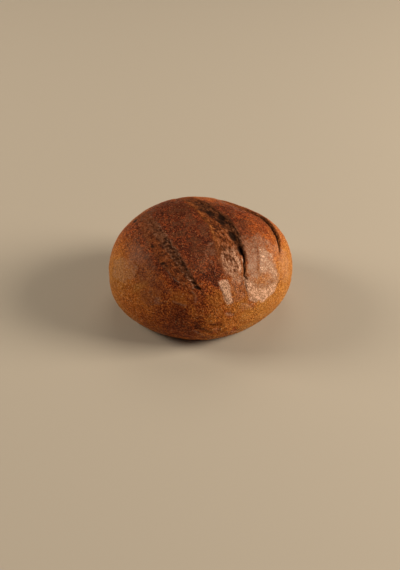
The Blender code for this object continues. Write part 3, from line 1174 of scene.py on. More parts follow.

# Glaze films: their pale tones are painted sheen and highlights.
GLAZES_AND_SHEENS: tuple[Field, ...] = (
    # Soft film above the shoulder plate.
    Field(
        ((-44, 46), (-37, 51), (-26, 48), (-18, 41), (-20, 34), (-28, 33), (-34, 37), (-42, 41)),
        tone=0.43, cover=0.74, soft=3.5, wander=4.0,
    ),
    # Film between the middle slash and the plates.
    Field(
        (
            (-42, 46), (-34, 45), (-27, 40), (-33, 30), (-40, 25), (-45, 21), (-56, 22), (-54, 31),
            (-48, 38),
        ),
        tone=0.4, cover=0.85, soft=1.6, wander=2.4, flatten=0.1,
    ),
    # The shoulder plate.
    Field(
        (
            (-31, 38), (-27, 36), (-28, 33), (-27, 29), (-29, 25), (-30, 21), (-31, 16), (-38, 15),
            (-43, 19), (-46, 25), (-45, 28), (-39, 33),
        ),
        tone=0.57, cover=0.95, wander=1.2, rise=0.0004, flatten=0.25,
    ),
    # The front plate.
    Field(
        (
            (-58, 28), (-50, 26), (-44, 24), (-38, 18), (-31, 15), (-35, 10), (-40, 8), (-45, 7),
            (-50, 7), (-55, 9), (-59, 13), (-60, 19),
        ),
        tone=0.52, cover=0.9, soft=0.5, wander=1.3, rise=0.0006, flatten=0.2,
    ),
    # A worn stretch between the two plates.
    Field(
        ((-54, 26), (-47, 25), (-40, 21), (-37, 17), (-43, 16), (-50, 19)),
        cover=-0.55, bake=0.08, soft=2.5, wander=4.0,
    ),
    # Bloom and a painted highlight on the front plate.
    Field(
        (
            (-59, 27), (-56, 25), (-53, 19), (-50, 16), (-44, 14), (-38, 14), (-35, 10), (-40, 8),
            (-45, 7), (-50, 7), (-55, 9), (-59, 13), (-60, 19),
        ),
        tone=0.92, cover=0.92, soft=1.3, wander=1.6,
    ),
    # Thin film between the strip and the front plate.
    Field(
        ((-72, 31), (-66, 29), (-65, 22), (-67, 17), (-72, 15), (-73, 22)),
        tone=0.55, cover=0.28, soft=2.0, wander=4.0,
    ),
    # The strip below the middle slash, with a bright painted highlight.
    Field(
        (
            (-79, 30), (-75, 31), (-71, 30), (-71, 26), (-71, 22), (-71.5, 18), (-72, 15), (-75, 14),
            (-77, 18), (-78, 22), (-78.5, 27),
        ),
        tone=1.16, cover=1.0, soft=0.7, wander=1.0, rise=0.0005,
    ),
    # The stretched floor at the mouth of the middle slash.
    Field(
        (
            (-49, 48), (-53, 41), (-58, 30), (-64, 26), (-70, 29), (-70, 37), (-71, 43), (-69, 48),
            (-60, 50),
        ),
        tone=0.72, cover=0.62, soft=3.0, wander=5.0,
    ),
    # Thin films with painted sheen round the plates, the strip and on the left flank.
    Field(
        ((-150, 32), (-140, 33), (-128, 30), (-118, 24), (-122, 16), (-134, 14), (-146, 20)),
        tone=0.28, cover=0.22, soft=3.0, wander=5.0,
    ),
    Field(
        ((-70, 29), (-64, 29), (-59, 26), (-59, 14), (-64, 14), (-69, 17)),
        tone=0.5, cover=0.29, bake=0.06, soft=3.0, wander=4.0,
    ),
    Field(
        ((-30, 55), (-18, 53), (-12, 47), (-20, 42), (-29, 39), (-38, 42), (-41, 46)),
        tone=0.34, cover=0.34, soft=3.5, wander=4.5,
    ),
    Field(
        ((-178, 36), (-164, 47), (-145, 41), (-128, 35), (-123, 26), (-132, 22), (-142, 21), (-156, 27)),
        tone=0.2, cover=0.45, soft=3.0, wander=5.0,
    ),
    Field(
        ((-140, 17), (-133, 22), (-128, 19), (-124, 14), (-130, 9), (-137, 11)),
        tone=0.22, cover=0.3, bake=0.12, soft=1.2, wander=2.6,
    ),
    Field(
        ((-173, 20), (-163, 30), (-151, 32), (-146, 30), (-146, 23), (-154, 15), (-167, 11)),
        tone=0.5, cover=0.34, bake=-0.1, soft=0.9, wander=2.5,
    ),
    Field(
        ((-27, 33), (-20, 34), (-15, 28), (-14, 18), (-18, 9), (-25, 7), (-30, 12)),
        tone=0.88, cover=0.2, soft=3.0, wander=4.0,
    ),
    # A pale mark low on the left flank.
    Field(
        ((-132.5, 22), (-129, 21.5), (-125, 17), (-121, 14), (-124, 13), (-128, 16), (-131, 19)),
        tone=0.52, cover=0.42, soft=1.2, wander=2.0,
    ),
    # Film between the left and the middle slash.
    Field(
        ((-96, 57), (-80, 54), (-82, 42), (-90, 33), (-97, 39)),
        tone=0.25, cover=0.3, soft=4.0, wander=6.0,
    ),
    # The curled flake at the foot of the left slash.
    Field(
        ((-102.5, 34), (-101, 34), (-99.5, 32), (-97.5, 29), (-98, 28), (-101, 31.5)),
        tone=0.85, cover=0.75, rise=0.0008,
    ),
    # The lit lip at the mouth of the middle slash.
    Field(
        ((-55.5, 40), (-54, 38), (-57, 34), (-59, 30.5), (-62, 30.5), (-60, 34), (-57.5, 38)),
        tone=0.95, cover=0.85, soft=0.7, wander=1.2,
    ),
    # Film left of the middle slash.
    Field(
        ((-86, 56), (-74, 57), (-68, 50), (-74, 46), (-84, 48)),
        tone=0.46, cover=0.5, soft=2.5, wander=4.0,
    ),
    # The worn right edge of the plates.
    Field(
        ((-31, 27), (-26, 25), (-27, 12), (-34, 8), (-36, 13), (-32, 18)),
        cover=-0.45, soft=2.0, wander=3.0,
    ),
    # A faint painted sheen under the front plate.
    Field(((-67, 13), (-60, 12), (-58, 7), (-64, 7)), tone=0.95, cover=0.14, soft=2.0, wander=4.0),
)

BAKINGS: tuple[Field, ...] = (
    # Darker crust left of the left slash, and above the strip.
    Field(((-132, 33), (-113, 30), (-108, 24), (-118, 20), (-131, 25)), bake=0.11, soft=2.5, wander=4.0),
    Field(((-80, 44), (-70, 45), (-71, 34), (-79, 31)), bake=0.12, soft=2.0, wander=3.0),
    # A dark band left of the left slash.
    Field(
        (
            (-148, 42), (-135, 42), (-122, 39), (-110, 34), (-104, 29), (-111, 26), (-122, 31),
            (-135, 36), (-147, 38),
        ),
        bake=0.19, soft=2.0, wander=3.0,
    ),
    # The right flank.
    Field(((-8, 24), (0, 28), (12, 24), (14, 8), (4, 2), (-8, 6)), bake=0.1, soft=4.0, wander=4.0),
    # The golden back.
    Field(
        ((40, 54), (56, 64), (78, 66), (98, 56), (122, 44), (150, 34), (120, 24), (80, 24), (48, 36)),
        bake=-0.37, soft=11.0, wander=9.0,
    ),
    # Paler crust along the left edge of the right slash.
    Field(
        ((26, 52), (12, 47), (1, 43), (-10, 42), (-20, 45), (-18, 51), (0, 58), (20, 60)),
        bake=-0.14, soft=3.0, wander=4.0,
    ),
    # A dark stretch left of the strip, with a paler fold beside it.
    Field(
        ((-86, 40), (-77, 39), (-77, 31), (-81, 26), (-85, 30), (-87, 35)),
        bake=0.16, soft=1.0, wander=2.0,
    ),
    Field(
        (
            (-88, 34), (-86, 29), (-82, 26), (-80, 18), (-83, 12), (-87, 11), (-88, 17), (-86, 23),
            (-89, 28), (-91, 32),
        ),
        bake=-0.09, soft=1.2, wander=3.0,
    ),
    # Dark and pale patches below the left slash.
    Field(
        ((-96, 27), (-89, 29), (-86, 24), (-88, 18), (-91, 11), (-96, 13), (-98, 20)),
        bake=0.14, soft=1.4, wander=3.0,
    ),
    Field(
        ((-114, 25), (-109, 27), (-104, 23), (-101, 18), (-105, 15), (-111, 17), (-115, 20)),
        bake=-0.18, soft=1.4, wander=3.0,
    ),
    Field(((-111, 16), (-102, 14), (-101, 8), (-108, 5), (-113, 9)), bake=0.1, soft=1.4, wander=3.0),
    # A dark rim to the films on the left flank, with a paler one below.
    Field(
        ((-147, 31), (-140, 32), (-136, 26), (-141, 24), (-145, 18), (-149, 21), (-147, 27)),
        bake=0.14, soft=0.8, wander=1.5,
    ),
    Field(
        ((-145, 19), (-140, 24), (-134, 25), (-134, 22), (-140, 17), (-144, 13)),
        bake=-0.14, soft=1.0, wander=1.5,
    ),
    # Small raised ridges painted pale as lit, and patches painted dark as shaded hollows, low on the front.
    Field(
        ((-79, -4), (-73, -5), (-72, -9), (-75, -12), (-79, -8)),
        bake=-0.24, soft=1.4, wander=2.0, rise=0.0006,
    ),
    Field(((-73.5, -6), (-69, -7), (-68, -12), (-72, -12)), bake=0.4, soft=1.2, wander=2.5),
    Field(
        ((-89, 7), (-85, 6), (-84, 4), (-87, 2), (-91, 3)),
        bake=-0.28, soft=1.2, wander=1.8, rise=0.0004,
    ),
    Field(((-79, 10), (-75, 10.5), (-71, 7), (-72, 5), (-76, 6)), bake=0.36, soft=1.2, wander=2.5),
    Field(((-60, 12.5), (-56, 9.5), (-55, 7), (-59, 8.5)), bake=0.3, soft=1.1, wander=2.0),
    # The darker front.
    Field(
        ((-118, 13), (-101, 14), (-88, 10), (-85, 2), (-94, -3), (-108, -2), (-118, 3)),
        bake=0.06, soft=3.0, wander=6.0,
    ),
)


@dataclass(frozen=True)
class Oven:
    """How the oven has browned the crust, from 0 for golden to 1 for nearly black, and wrinkled its front,
    with painted shade in the wrinkles.

    Angles are in degrees and heights in metres.
    """

    golden: float = 0.05
    browned: float = 0.84
    brown_rise: Span = (8.0, 60.0)
    clouds: float = 0.07
    mottle: float = 0.03
    front_azimuth: float = -95.0
    front_reach: Span = (20.0, 40.0)
    front_least: float = 0.24
    streak_azimuth: float = -85.0
    streak_spread: float = 20.0
    streak_shares: Span = (1.0, 0.4)
    streak_rise: Span = (4.0, 14.0)
    streak_fall: Span = (30.0, 40.0)
    streak_depth: float = 0.0009
    fold_azimuth: float = -88.0
    fold_spread: float = 24.0
    fold_shares: Span = (0.35, 1.0)
    fold_fall: Span = (4.0, 14.0)
    fold_depth: float = 0.0020
    wrinkle_shade: float = 0.34
    speck_azimuth: float = -80.0
    speck_reach: Span = (25.0, 60.0)
    speck_size: Span = (0.20, 0.36)
    speck_fall: Span = (24.0, 36.0)
    speck_pale: float = 0.22
    speck_height: float = 0.0003
    spots: tuple[Spot, ...] = (
        Spot(-108.0, -3.0, 28.0, 0.72),
        Spot(-150.0, 0.0, 15.0, 0.16),
        Spot(-84.0, 33.0, 7.0, 0.22),
        Spot(-96.0, 38.0, 12.0, 0.14),
        Spot(109.0, 78.0, 14.0, 0.10),
        Spot(122.0, 48.0, 12.0, 0.14),
        Spot(-100.0, 1.0, 12.0, -0.12),
        Spot(5.0, 40.0, 14.0, 0.08),
        Spot(60.0, 12.0, 26.0, 0.22),
        Spot(118.0, 6.0, 24.0, 0.30),
        Spot(160.0, 20.0, 20.0, 0.10),
        Spot(-64.0, 20.0, 8.0, 0.16),
        Spot(-170.0, 22.0, 14.0, -0.12),
    )

    def brown(self, site: Site, relief: Relief, grain: Grain) -> None:
        """Bake the crust: pale at the flanks, dark over the crown, with darker and paler spots.

        Args:
            site: Where each point lies.
            relief: Takes the browning.
            grain: Uneven patterns.
        """
        relief.bake = self.golden + self.browned * smooth_step(site.elevation, *self.brown_rise)
        relief.bake += sum(spot.at(site.direction) for spot in self.spots)
        relief.bake += self.clouds * grain.cloud(site.point, Pattern.BAKE_CLOUDS)
        relief.bake += self.mottle * grain.cloud(site.point, Pattern.BAKE_MOTTLE)

    def wrinkle(self, site: Site, relief: Relief, grain: Grain) -> None:
        """Wrinkle the front: upright streaks, lying folds near the sole, and small pale specks; the sunk
        streaks and folds are painted darker as shade, their raised sides paler.

        Args:
            site: Where each point lies.
            relief: Takes the moves and the browning.
            grain: Uneven patterns.
        """
        azimuth, elevation = site.azimuth, site.elevation
        streaks = grain.cloud(site.laid_flat(*self.streak_shares), Pattern.FRONT_STREAKS)
        streaks *= bell(azimuth - self.streak_azimuth, self.streak_spread)
        streaks *= smooth_step(elevation, *self.streak_rise)
        streaks *= 1.0 - smooth_step(elevation, *self.streak_fall)
        folds = grain.cloud(site.laid_flat(*self.fold_shares), Pattern.LOW_FOLDS)
        folds *= bell(azimuth - self.fold_azimuth, self.fold_spread)
        folds *= 1.0 - smooth_step(elevation, *self.fold_fall)
        specks = 1.0 - smooth_step(grain.cells(site.point, Scatter.SPECKS)[0], *self.speck_size)
        specks *= around(azimuth, self.speck_azimuth, *self.speck_reach)
        specks *= 1.0 - smooth_step(elevation, *self.speck_fall)
        # Sunk streaks and folds are painted darker, as shade, and raised ones paler.
        relief.bake += self.wrinkle_shade * (streaks + folds) - self.speck_pale * specks
        relief.rise += self.speck_height * specks - self.streak_depth * streaks - self.fold_depth * folds

    def toast_front(self, site: Site, relief: Relief) -> None:
        """Keep the front at least a little browned."""
        front = around(site.azimuth, self.front_azimuth, *self.front_reach)
        relief.bake = np.maximum(relief.bake, self.front_least * front)


@dataclass(frozen=True)
class Glaze:
    """How the films of glaze, pale with painted sheen, streak, thin out and leave veils of painted sheen
    between them.
    """

    streaks: float = 0.35
    streak_shares: Span = (1.0, 0.35)
    crack_rise: Span = (0.0, 0.40)
    crack_loss: float = 0.90
    char_loss: float = 0.40
    veil_rise: Span = (0.0, 0.35)
    veil_upward: Span = (0.45, 0.75)
    veil_cover: float = 0.50
    veil_tone: float = 0.08

    def settle(self, site: Site, relief: Relief, grain: Grain) -> None:
        """Streak the films, thin them over cracks and char, and veil the bare crown with painted sheen.

        Args:
            site: Where each point lies.
            relief: Takes the marks.
            grain: Uneven patterns.
        """
        streaks = grain.cloud(site.laid_flat(*self.streak_shares), Pattern.GLAZE_STREAKS)
        relief.tone *= 1.0 + self.streaks * streaks
        relief.glaze_and_sheen *= 1.0 - self.crack_loss * smooth_step(relief.crack_and_shade, *self.crack_rise)
        relief.glaze_and_sheen *= 1.0 - self.char_loss * relief.char
        veils = smooth_step(grain.cloud(site.point, Pattern.VEILS), *self.veil_rise)
        veils *= smooth_step(site.upward, *self.veil_upward)
        bare = (1.0 - relief.glaze_and_sheen) * (1.0 - relief.torn)
        relief.coat(self.veil_cover * veils * bare, self.veil_tone)


@dataclass(frozen=True)
class Blistering:
    """How high the crust's dents, lumps and blisters stand, in metres."""

    dents: float = 0.0011
    lumps: float = 0.0005
    blisters: float = 0.0004
    blister_radius: float = 0.42
    blister_slope: float = 0.3
    film_calm: float = 0.5
    sole_rise: Span = (-0.42, -0.30)

    def raise_on(self, site: Site, relief: Relief, grain: Grain) -> None:
        """Dent and blister the crust, least where it is glazed and not at all on the sole.

        Args:
            site: Where each point lies.
            relief: Takes the moves.
            grain: Uneven patterns.
        """
        clear = smooth_step(site.upward, *self.sole_rise)
        calm = clear * (1.0 - self.film_calm * relief.glaze_and_sheen)
        seeds = grain.cells(site.point, Scatter.BLISTERS)[0]
        blisters = smooth_step(self.blister_radius - seeds, 0.0, self.blister_slope)
        relief.rise += clear * self.dents * grain.cloud(site.point, Pattern.DENTS)
        relief.rise += calm * self.lumps * grain.cloud(site.point, Pattern.LUMPS)
        relief.rise += calm * (1.0 - relief.torn) * self.blisters * blisters


@dataclass(frozen=True)
class LoafCrust:
    """The whole crust: one closed mesh on the plain form, with everything cut and laid on it."""

    form: PlainForm = PlainForm()
    grain: Grain = Grain()
    oven: Oven = Oven()
    glaze: Glaze = Glaze()
    blistering: Blistering = Blistering()
    slashes: tuple[Slash, ...] = (LEFT_SLASH, MIDDLE_SLASH, RIGHT_SLASH)
    pits: tuple[Pit, ...] = PITS
    creases: tuple[Crease, ...] = CREASES
    fields: tuple[Field, ...] = GLAZES_AND_SHEENS + BAKINGS
    back_reach: float = -60.0
    front_reach: float = 78.0
    top_rows: int = 184
    strips: tuple[int, ...] = (14, 22, 22, 34, 40, 26, 20, 16, 16, 14)
    skirt_rows: int = 62
    skirt_power: float = 1.25
    slash_fade: Span = (0.02, 0.15)

    def build(self) -> bpy.types.Object:
        """Build the mesh with its marks.

        Returns:
            The crust as an object, flat on z = 0 and centred on the Z axis.
        """
        upper = self._upper_directions()
        rows, columns = upper.shape[:2]
        rim = self._rim_indices(rows, columns)
        upper = upper.reshape(-1, 3)
        skirt = self._skirt_directions(upper[rim]).reshape(-1, 3)
        points, relief = self._crust(np.concatenate([upper, skirt]))
        points[-len(rim):, 2] = 0.0
        points[:, :2] -= (points[:, :2].min(axis=0) + points[:, :2].max(axis=0)) / 2.0
        mesh = bpy.data.meshes.new("crust")
        mesh.from_pydata(points.tolist(), [], self._faces(rows, columns, rim))
        mesh.shade_smooth()
        relief.write(mesh)
        crust = bpy.data.objects.new("crust", mesh)
        bpy.context.scene.collection.objects.link(crust)
        return crust

    def _upper_directions(self) -> Array:
        """Spread the upper net, with more columns where the slashes are.

        Returns:
            Its directions, as rows along the slashes by columns across them.
        """
        reach = np.linspace(self.back_reach, self.front_reach, self.top_rows + 1)
        lines = list(Line)
        columns = []
        for first, second, count in zip(lines[:-1], lines[1:], self.strips):
            start, finish = first.lean(reach), second.lean(reach)
            columns += [start + (finish - start) * strip / count for strip in range(count)]
        columns.append(lines[-1].lean(reach))
        lean = np.stack(columns, axis=-1)
        reach = np.repeat(reach[:, None], lean.shape[1], axis=1)
        ahead = ALONG * np.tan(np.radians(reach))[..., None]
        aside = ACROSS * np.tan(np.radians(lean))[..., None]
        return unit(ahead + aside + UP)

    @staticmethod
    def _rim_indices(rows: int, columns: int) -> list[int]:
        """Find the rim of a net.

        Args:
            rows: How many rows of vertices it has.
            columns: How many are in a row.

        Returns:
            The numbers of the vertices round the rim, in order.
        """
        front = [(0, column) for column in range(columns)]
        right = [(row, columns - 1) for row in range(1, rows)]
        back = [(rows - 1, column) for column in range(columns - 2, -1, -1)]
        left = [(row, 0) for row in range(rows - 2, 0, -1)]
        return [row * columns + column for row, column in front + right + back + left]

    def _skirt_directions(self, rim: Array) -> Array:
        """Spread the skirt straight down from the rim to the edge of the sole.

        Args:
            rim: Directions of the upper net's rim.

        Returns:
            The skirt's directions, as rows of one for each of the rim's.
        """
        azimuth = np.arctan2(rim[:, 1], rim[:, 0])
        high = np.arcsin(rim[:, 2])
        low = self.form.sole_elevation(azimuth)
        share = np.linspace(0.0, 1.0, self.skirt_rows + 1)[1:, None] ** self.skirt_power
        elevation = high + (low - high) * share
        flat = np.cos(elevation)
        return np.stack([flat * np.cos(azimuth), flat * np.sin(azimuth), np.sin(elevation)], axis=-1)

    def _faces(self, rows: int, columns: int, rim: list[int]) -> list[tuple[int, ...]]:
        """Join the vertices up.

        Args:
            rows: How many rows of vertices the upper net has.
            columns: How many are in a row.
            rim: The numbers of the vertices round its rim.

        Returns:
            The faces of the upper net, the skirt and the flat sole.
        """
        faces = []
        for row in range(rows - 1):
            for column in range(columns - 1):
                corner = row * columns + column
                faces.append((corner, corner + columns, corner + columns + 1, corner + 1))
        ring = list(rim)
        for level in range(self.skirt_rows):
            first = rows * columns + level * len(rim)
            lower = list(range(first, first + len(rim)))
            for index, corner in enumerate(ring):
                after = (index + 1) % len(rim)
                faces.append((corner, ring[after], lower[after], lower[index]))
            ring = lower
        faces.append(tuple(ring))
        return faces

    def _site(self, direction: Array) -> Site:
        """Find where the points of the crust lie on the plain form.

        Args:
            direction: Directions of length 1 from the middle of the girth.

        Returns:
            The place of each point.
        """
        point = self.form.point(direction)
        reach = np.degrees(np.arctan2(direction @ ALONG, direction[:, 2]))
        lean = np.degrees(np.arctan2(direction @ ACROSS, direction[:, 2]))
        arm = np.hypot(point @ ACROSS, point[:, 2] - self.form.girth_height)
        return Site(np.clip(reach, -REACH_LIMIT, REACH_LIMIT), lean, arm, point, direction)

    def _crust(self, direction: Array) -> tuple[Array, Relief]:
        """Cut and lay everything on the plain form.

        Args:
            direction: Directions of length 1 from the middle of the girth.

        Returns:
            The points of the crust and the relief with its marks.
        """
        site = self._site(direction)
        relief = Relief.blank(len(direction))
        for slash in self.slashes:
            slash.cut(site, relief, self.grain)
        for pit in self.pits:
            pit.sink(site, relief)
        relief.fade_slashes(smooth_step(site.upward, *self.slash_fade))
        for crease in self.creases:
            crease.fold(site, relief, self.grain)
        self.oven.brown(site, relief, self.grain)
        self.oven.wrinkle(site, relief, self.grain)
        for part in self.fields:
            part.lay(site, relief, self.grain)
        self.oven.toast_front(site, relief)
        self.glaze.settle(site, relief, self.grain)
        self.blistering.raise_on(site, relief, self.grain)
        normal, sideways = self.form.normal_and_sideways(direction)
        moved = normal * relief.rise[:, None] + sideways * relief.shift[:, None]
        return site.point + moved, relief


@dataclass(frozen=True)
class Clouds:
    """Soft clouds in a finish: size in metres, detail, roughness, shift, and how their range is mapped."""

    size: float
    detail: float
    roughness: float
    shift: float
    usual: Span = (0.3, 0.7)
    result: Span = (0.0, 1.0)


class Finish:
    """A material under construction, with short ways to add and join its nodes."""

    def __init__(self, name: str) -> None:
        """Start an empty material with one shader.

        Args:
            name: What the material is called.
        """
        self.material = bpy.data.materials.new(name)
        self.material.use_nodes = True
        self.nodes = self.material.node_tree.nodes
        self.links = self.material.node_tree.links
        self.shader = self.nodes["Principled BSDF"]

    def node(self, kind: str, **settings: object) -> bpy.types.Node:
        """Add a node.

        Args:
            kind: Which kind of node.
            **settings: Its properties.

        Returns:
            The node.
        """
        node = self.nodes.new(kind)
        for name, value in settings.items():
            setattr(node, name, value)
        return node

    def feed(self, target: Socket, value: Socket | float | Colour) -> None:
        """Link a socket, or set a plain value on it.

        Args:
            target: The socket that takes it.
            value: Another node's output, or the plain value.
        """
        if isinstance(value, Socket):
            self.links.new(value, target)
        else:
            target.default_value = value

    def mark(self, name: str) -> Socket:
        """Read one of the crust's marks."""
        return self.node("ShaderNodeAttribute", attribute_name=name).outputs["Fac"]

    def place(self) -> Socket:
        """Return the place on the loaf in metres."""
        return self.node("ShaderNodeTexCoord").outputs["Object"]

    def math(
        self, operation: str, first: Socket | float, second: Socket | float, clamp: bool = False
    ) -> Socket:
        """Add one sum or product.

        Args:
            operation: Which one.
            first: Its first value.
            second: Its second value.
            clamp: Whether the result is kept between 0 and 1.

        Returns:
            The result.
        """
        node = self.node("ShaderNodeMath", operation=operation, use_clamp=clamp)
        self.feed(node.inputs[0], first)
        self.feed(node.inputs[1], second)
        return node.outputs[0]

    def scale(self, first: Socket | float, second: Socket | float) -> Socket:
        """Multiply two values."""
        return self.math("MULTIPLY", first, second)

    def clouds(self, clouds: Clouds) -> Socket:
        """Add soft clouds.

        Args:
            clouds: Their settings.

        Returns:
            A value from 0 to 1.
        """
        node = self.node("ShaderNodeTexNoise", noise_dimensions="4D")
        self.feed(node.inputs["Vector"], self.place())
        self.feed(node.inputs["W"], clouds.shift)
        self.feed(node.inputs["Scale"], 1.0 / clouds.size)
        self.feed(node.inputs["Detail"], clouds.detail)
        self.feed(node.inputs["Roughness"], clouds.roughness)
        return node.outputs["Fac"]

    def seeds(self, spacing: float) -> Socket:
        """Scatter seeds.

        Args:
            spacing: How far apart they are, in metres.

        Returns:
            The distance to the nearest seed, in spacings.
        """
        node = self.node("ShaderNodeTexVoronoi")
        self.feed(node.inputs["Vector"], self.place())
        self.feed(node.inputs["Scale"], 1.0 / spacing)
        return node.outputs["Distance"]

    def between(self, value: Socket, usual: Span, result: Span = (0.0, 1.0)) -> Socket:
        """Map a range of a value smoothly to another range.

        Args:
            value: The value.
            usual: The ends of its range.
            result: What those ends become.

        Returns:
            The mapped value.
        """
        node = self.node("ShaderNodeMapRange", interpolation_type="SMOOTHSTEP")
        names = ("Value", "From Min", "From Max", "To Min", "To Max")
        for name, setting in zip(names, (value, *usual, *result)):
            self.feed(node.inputs[name], setting)
        return node.outputs["Result"]

    def mottle(self, clouds: Clouds) -> Socket:
        """Return soft clouds, mapped from their usual range to their result."""
        return self.between(self.clouds(clouds), clouds.usual, clouds.result)

    def blend(
        self, share: Socket | float, first: Socket, second: Socket | Colour, kind: str = "MIX"
    ) -> Socket:
        """Mix two colours.

        Args:
            share: How much of the second one there is.
            first: The colour below.
            second: The colour laid on it.
            kind: How they mix.

        Returns:
            The mixed colour.
        """
        node = self.node("ShaderNodeMix", data_type="RGBA", blend_type=kind)
        self.feed(node.inputs["Factor"], share)
        self.feed(node.inputs[6], first)
        self.feed(node.inputs[7], second)
        return node.outputs[2]

    def ramp(self, value: Socket, stops: tuple[tuple[float, Colour], ...]) -> Socket:
        """Read a colour off a row of stops.

        Args:
            value: Where on the row to read.
            stops: The place and colour of each stop.

        Returns:
            The colour.
        """
        node = self.node("ShaderNodeValToRGB")
        elements = node.color_ramp.elements
        while len(elements) < len(stops):
            elements.new(0.5)
        for element, (position, colour) in zip(elements, stops):
            element.position = position
            element.color = colour
        self.feed(node.inputs["Fac"], value)
        return node.outputs["Color"]

    def bump(self, height: Socket, strength: float, distance: float, under: Socket | None = None) -> Socket:
        """Add fine relief.

        Args:
            height: The relief, from 0 to 1.
            strength: How strongly it shows.
            distance: Its depth in metres.
            under: The relief that lies under it.

        Returns:
            The way the surface then faces.
        """
        node = self.node("ShaderNodeBump")
        self.feed(node.inputs["Height"], height)
        self.feed(node.inputs["Strength"], strength)
        self.feed(node.inputs["Distance"], distance)
        if under is not None:
            self.feed(node.inputs["Normal"], under)
        return node.outputs["Normal"]


@dataclass(frozen=True)
class CrustFinish:
    """Baked rye crust: golden at the flanks, dark on the crown, charred in the slashes, with painted shade
    in its hollows and painted sheen on its glaze.
    """

    golden: Colour = (0.438, 0.174, 0.027, 1.0)
    amber: Colour = (0.395, 0.110, 0.011, 1.0)
    russet: Colour = (0.268, 0.048, 0.005, 1.0)
    dark: Colour = (0.118, 0.015, 0.002, 1.0)
    deep: Colour = (0.068, 0.009, 0.001, 1.0)
    char: Colour = (0.048, 0.015, 0.005, 1.0)
    soot_and_shade: Colour = (0.012, 0.004, 0.0015, 1.0)
    crumb: Colour = (0.235, 0.066, 0.012, 1.0)
    dark_shaded_crumb: Colour = (0.075, 0.018, 0.005, 1.0)
    pale_lit_crumb: Colour = (0.430, 0.185, 0.095, 1.0)
    lip: Colour = (0.420, 0.130, 0.025, 1.0)
    lit_crest: Colour = (0.720, 0.400, 0.150, 1.0)
    veil_sheen: Colour = (0.100, 0.031, 0.009, 1.0)
    glaze_and_sheen: Colour = (0.238, 0.104, 0.057, 1.0)
    painted_sheen: Colour = (0.352, 0.212, 0.152, 1.0)
    bloom_and_highlight: Colour = (0.530, 0.335, 0.240, 1.0)
    bright_highlight: Colour = (0.820, 0.510, 0.385, 1.0)
    fleck_and_glint: Colour = (0.790, 0.510, 0.270, 1.0)
    dark_fleck_and_glint: Colour = (0.430, 0.205, 0.090, 1.0)
    bake_clouds: Clouds = Clouds(0.012, 3.0, 0.6, 2.0, result=(-0.06, 0.06))
    grain: Clouds = Clouds(0.0014, 2.5, 0.62, 5.0, (0.37, 0.69), (0.09, -0.10))
    grain_light: Span = (-0.38, 0.72)
    grain_patches: Clouds = Clouds(0.020, 2.0, 0.5, 14.0, (0.35, 0.65), (0.66, 1.14))
    dot_patches: Clouds = Clouds(0.0070, 2.0, 0.5, 12.0, (0.42, 0.58))
    crumb_grain: Clouds = Clouds(0.0015, 2.0, 0.7, 4.0, result=(-0.26, 0.26))
    film_mottle: Clouds = Clouds(0.0045, 3.0, 0.7, 6.0, result=(0.66, 1.20))
    film_grain: Clouds = Clouds(0.0013, 1.0, 0.5, 8.0, (0.34, 0.74), (0.66, 1.60))
    dullness: Clouds = Clouds(0.003, 3.0, 0.6, 7.0, result=(0.40, 0.60))
    grain_relief: Clouds = Clouds(0.0015, 2.0, 0.7, 9.0)
    crumb_relief: Clouds = Clouds(0.0022, 4.0, 0.7, 10.0)
    dot_spacing: float = 0.0030
    pore_spacing: float = 0.0016
    crack_shade_cover: float = 0.94
    torn_cover: float = 0.72
    specular: float = 0.12
    coat: float = 0.20
    coat_roughness: float = 0.38

    def material(self) -> bpy.types.Material:
        """Build the finish.

        Returns:
            The material of the whole crust.
        """
        finish = Finish("crust")
        inputs = finish.shader.inputs
        colour = self._grained(finish, self._baked_colour(finish))
        colour = self._glazed(finish, self._torn(finish, colour))
        # Cracks, pits and hollows are painted near black: soot with painted shade.
        colour = finish.blend(finish.scale(finish.mark("crack_and_shade"), self.crack_shade_cover), colour, self.soot_and_shade)
        finish.feed(inputs["Base Color"], colour)
        finish.feed(inputs["Roughness"], self._roughness(finish))
        finish.feed(inputs["Normal"], self._fine_relief(finish))
        finish.feed(inputs["Coat Weight"], finish.scale(finish.mark("glaze_and_sheen"), self.coat))
        inputs["Specular IOR Level"].default_value = self.specular
        inputs["Coat Roughness"].default_value = self.coat_roughness
        return finish.material

    def _baked_colour(self, finish: Finish) -> Socket:
        """Brown the crust by its bake, in soft clouds and a fine grain.

        Args:
            finish: The material under construction.

        Returns:
            The crust's colour.
        """
        grain = finish.scale(finish.mottle(self.grain), self._coarseness(finish))
        uneven = finish.math("ADD", finish.mottle(self.bake_clouds), grain)
        return finish.ramp(finish.math("ADD", finish.mark("bake"), uneven), (
            (0.0, self.golden), (0.30, self.amber), (0.60, self.russet),
            (0.85, self.dark), (1.0, self.deep),
        ))

    def _coarseness(self, finish: Finish) -> Socket:
        """Return how strongly the grain shows: unevenly, and most on the dark crown."""
        by_bake = finish.between(finish.mark("bake"), (0.0, 0.60), (0.80, 1.34))
        return finish.scale(finish.mottle(self.grain_patches), by_bake)

    def _grained(self, finish: Finish, colour: Socket) -> Socket:
        """Sprinkle the crust with fine lighter grains and small pale dots, partly the crust's grain and
        partly painted glints.

        Args:
            finish: The material under construction.
            colour: The crust's colour.

        Returns:
            The grained colour.
        """
        grain = finish.clouds(self.grain)
        light = finish.between(grain, self.grain.usual, self.grain_light)
        light = finish.scale(light, self._coarseness(finish))
        colour = finish.blend(1.0, colour, finish.math("ADD", light, 1.0), "MULTIPLY")
        # Pale flecks and dots are partly grain and partly painted glints.
        pale = finish.ramp(finish.mark("bake"), ((0.0, self.fleck_and_glint), (1.0, self.dark_fleck_and_glint)))
        colour = finish.blend(finish.between(grain, (0.42, 0.80), (0.0, 0.26)), colour, pale)
        dots = finish.between(finish.seeds(self.dot_spacing), (0.12, 0.34), (0.55, 0.0))
        return finish.blend(finish.scale(dots, finish.mottle(self.dot_patches)), colour, pale)

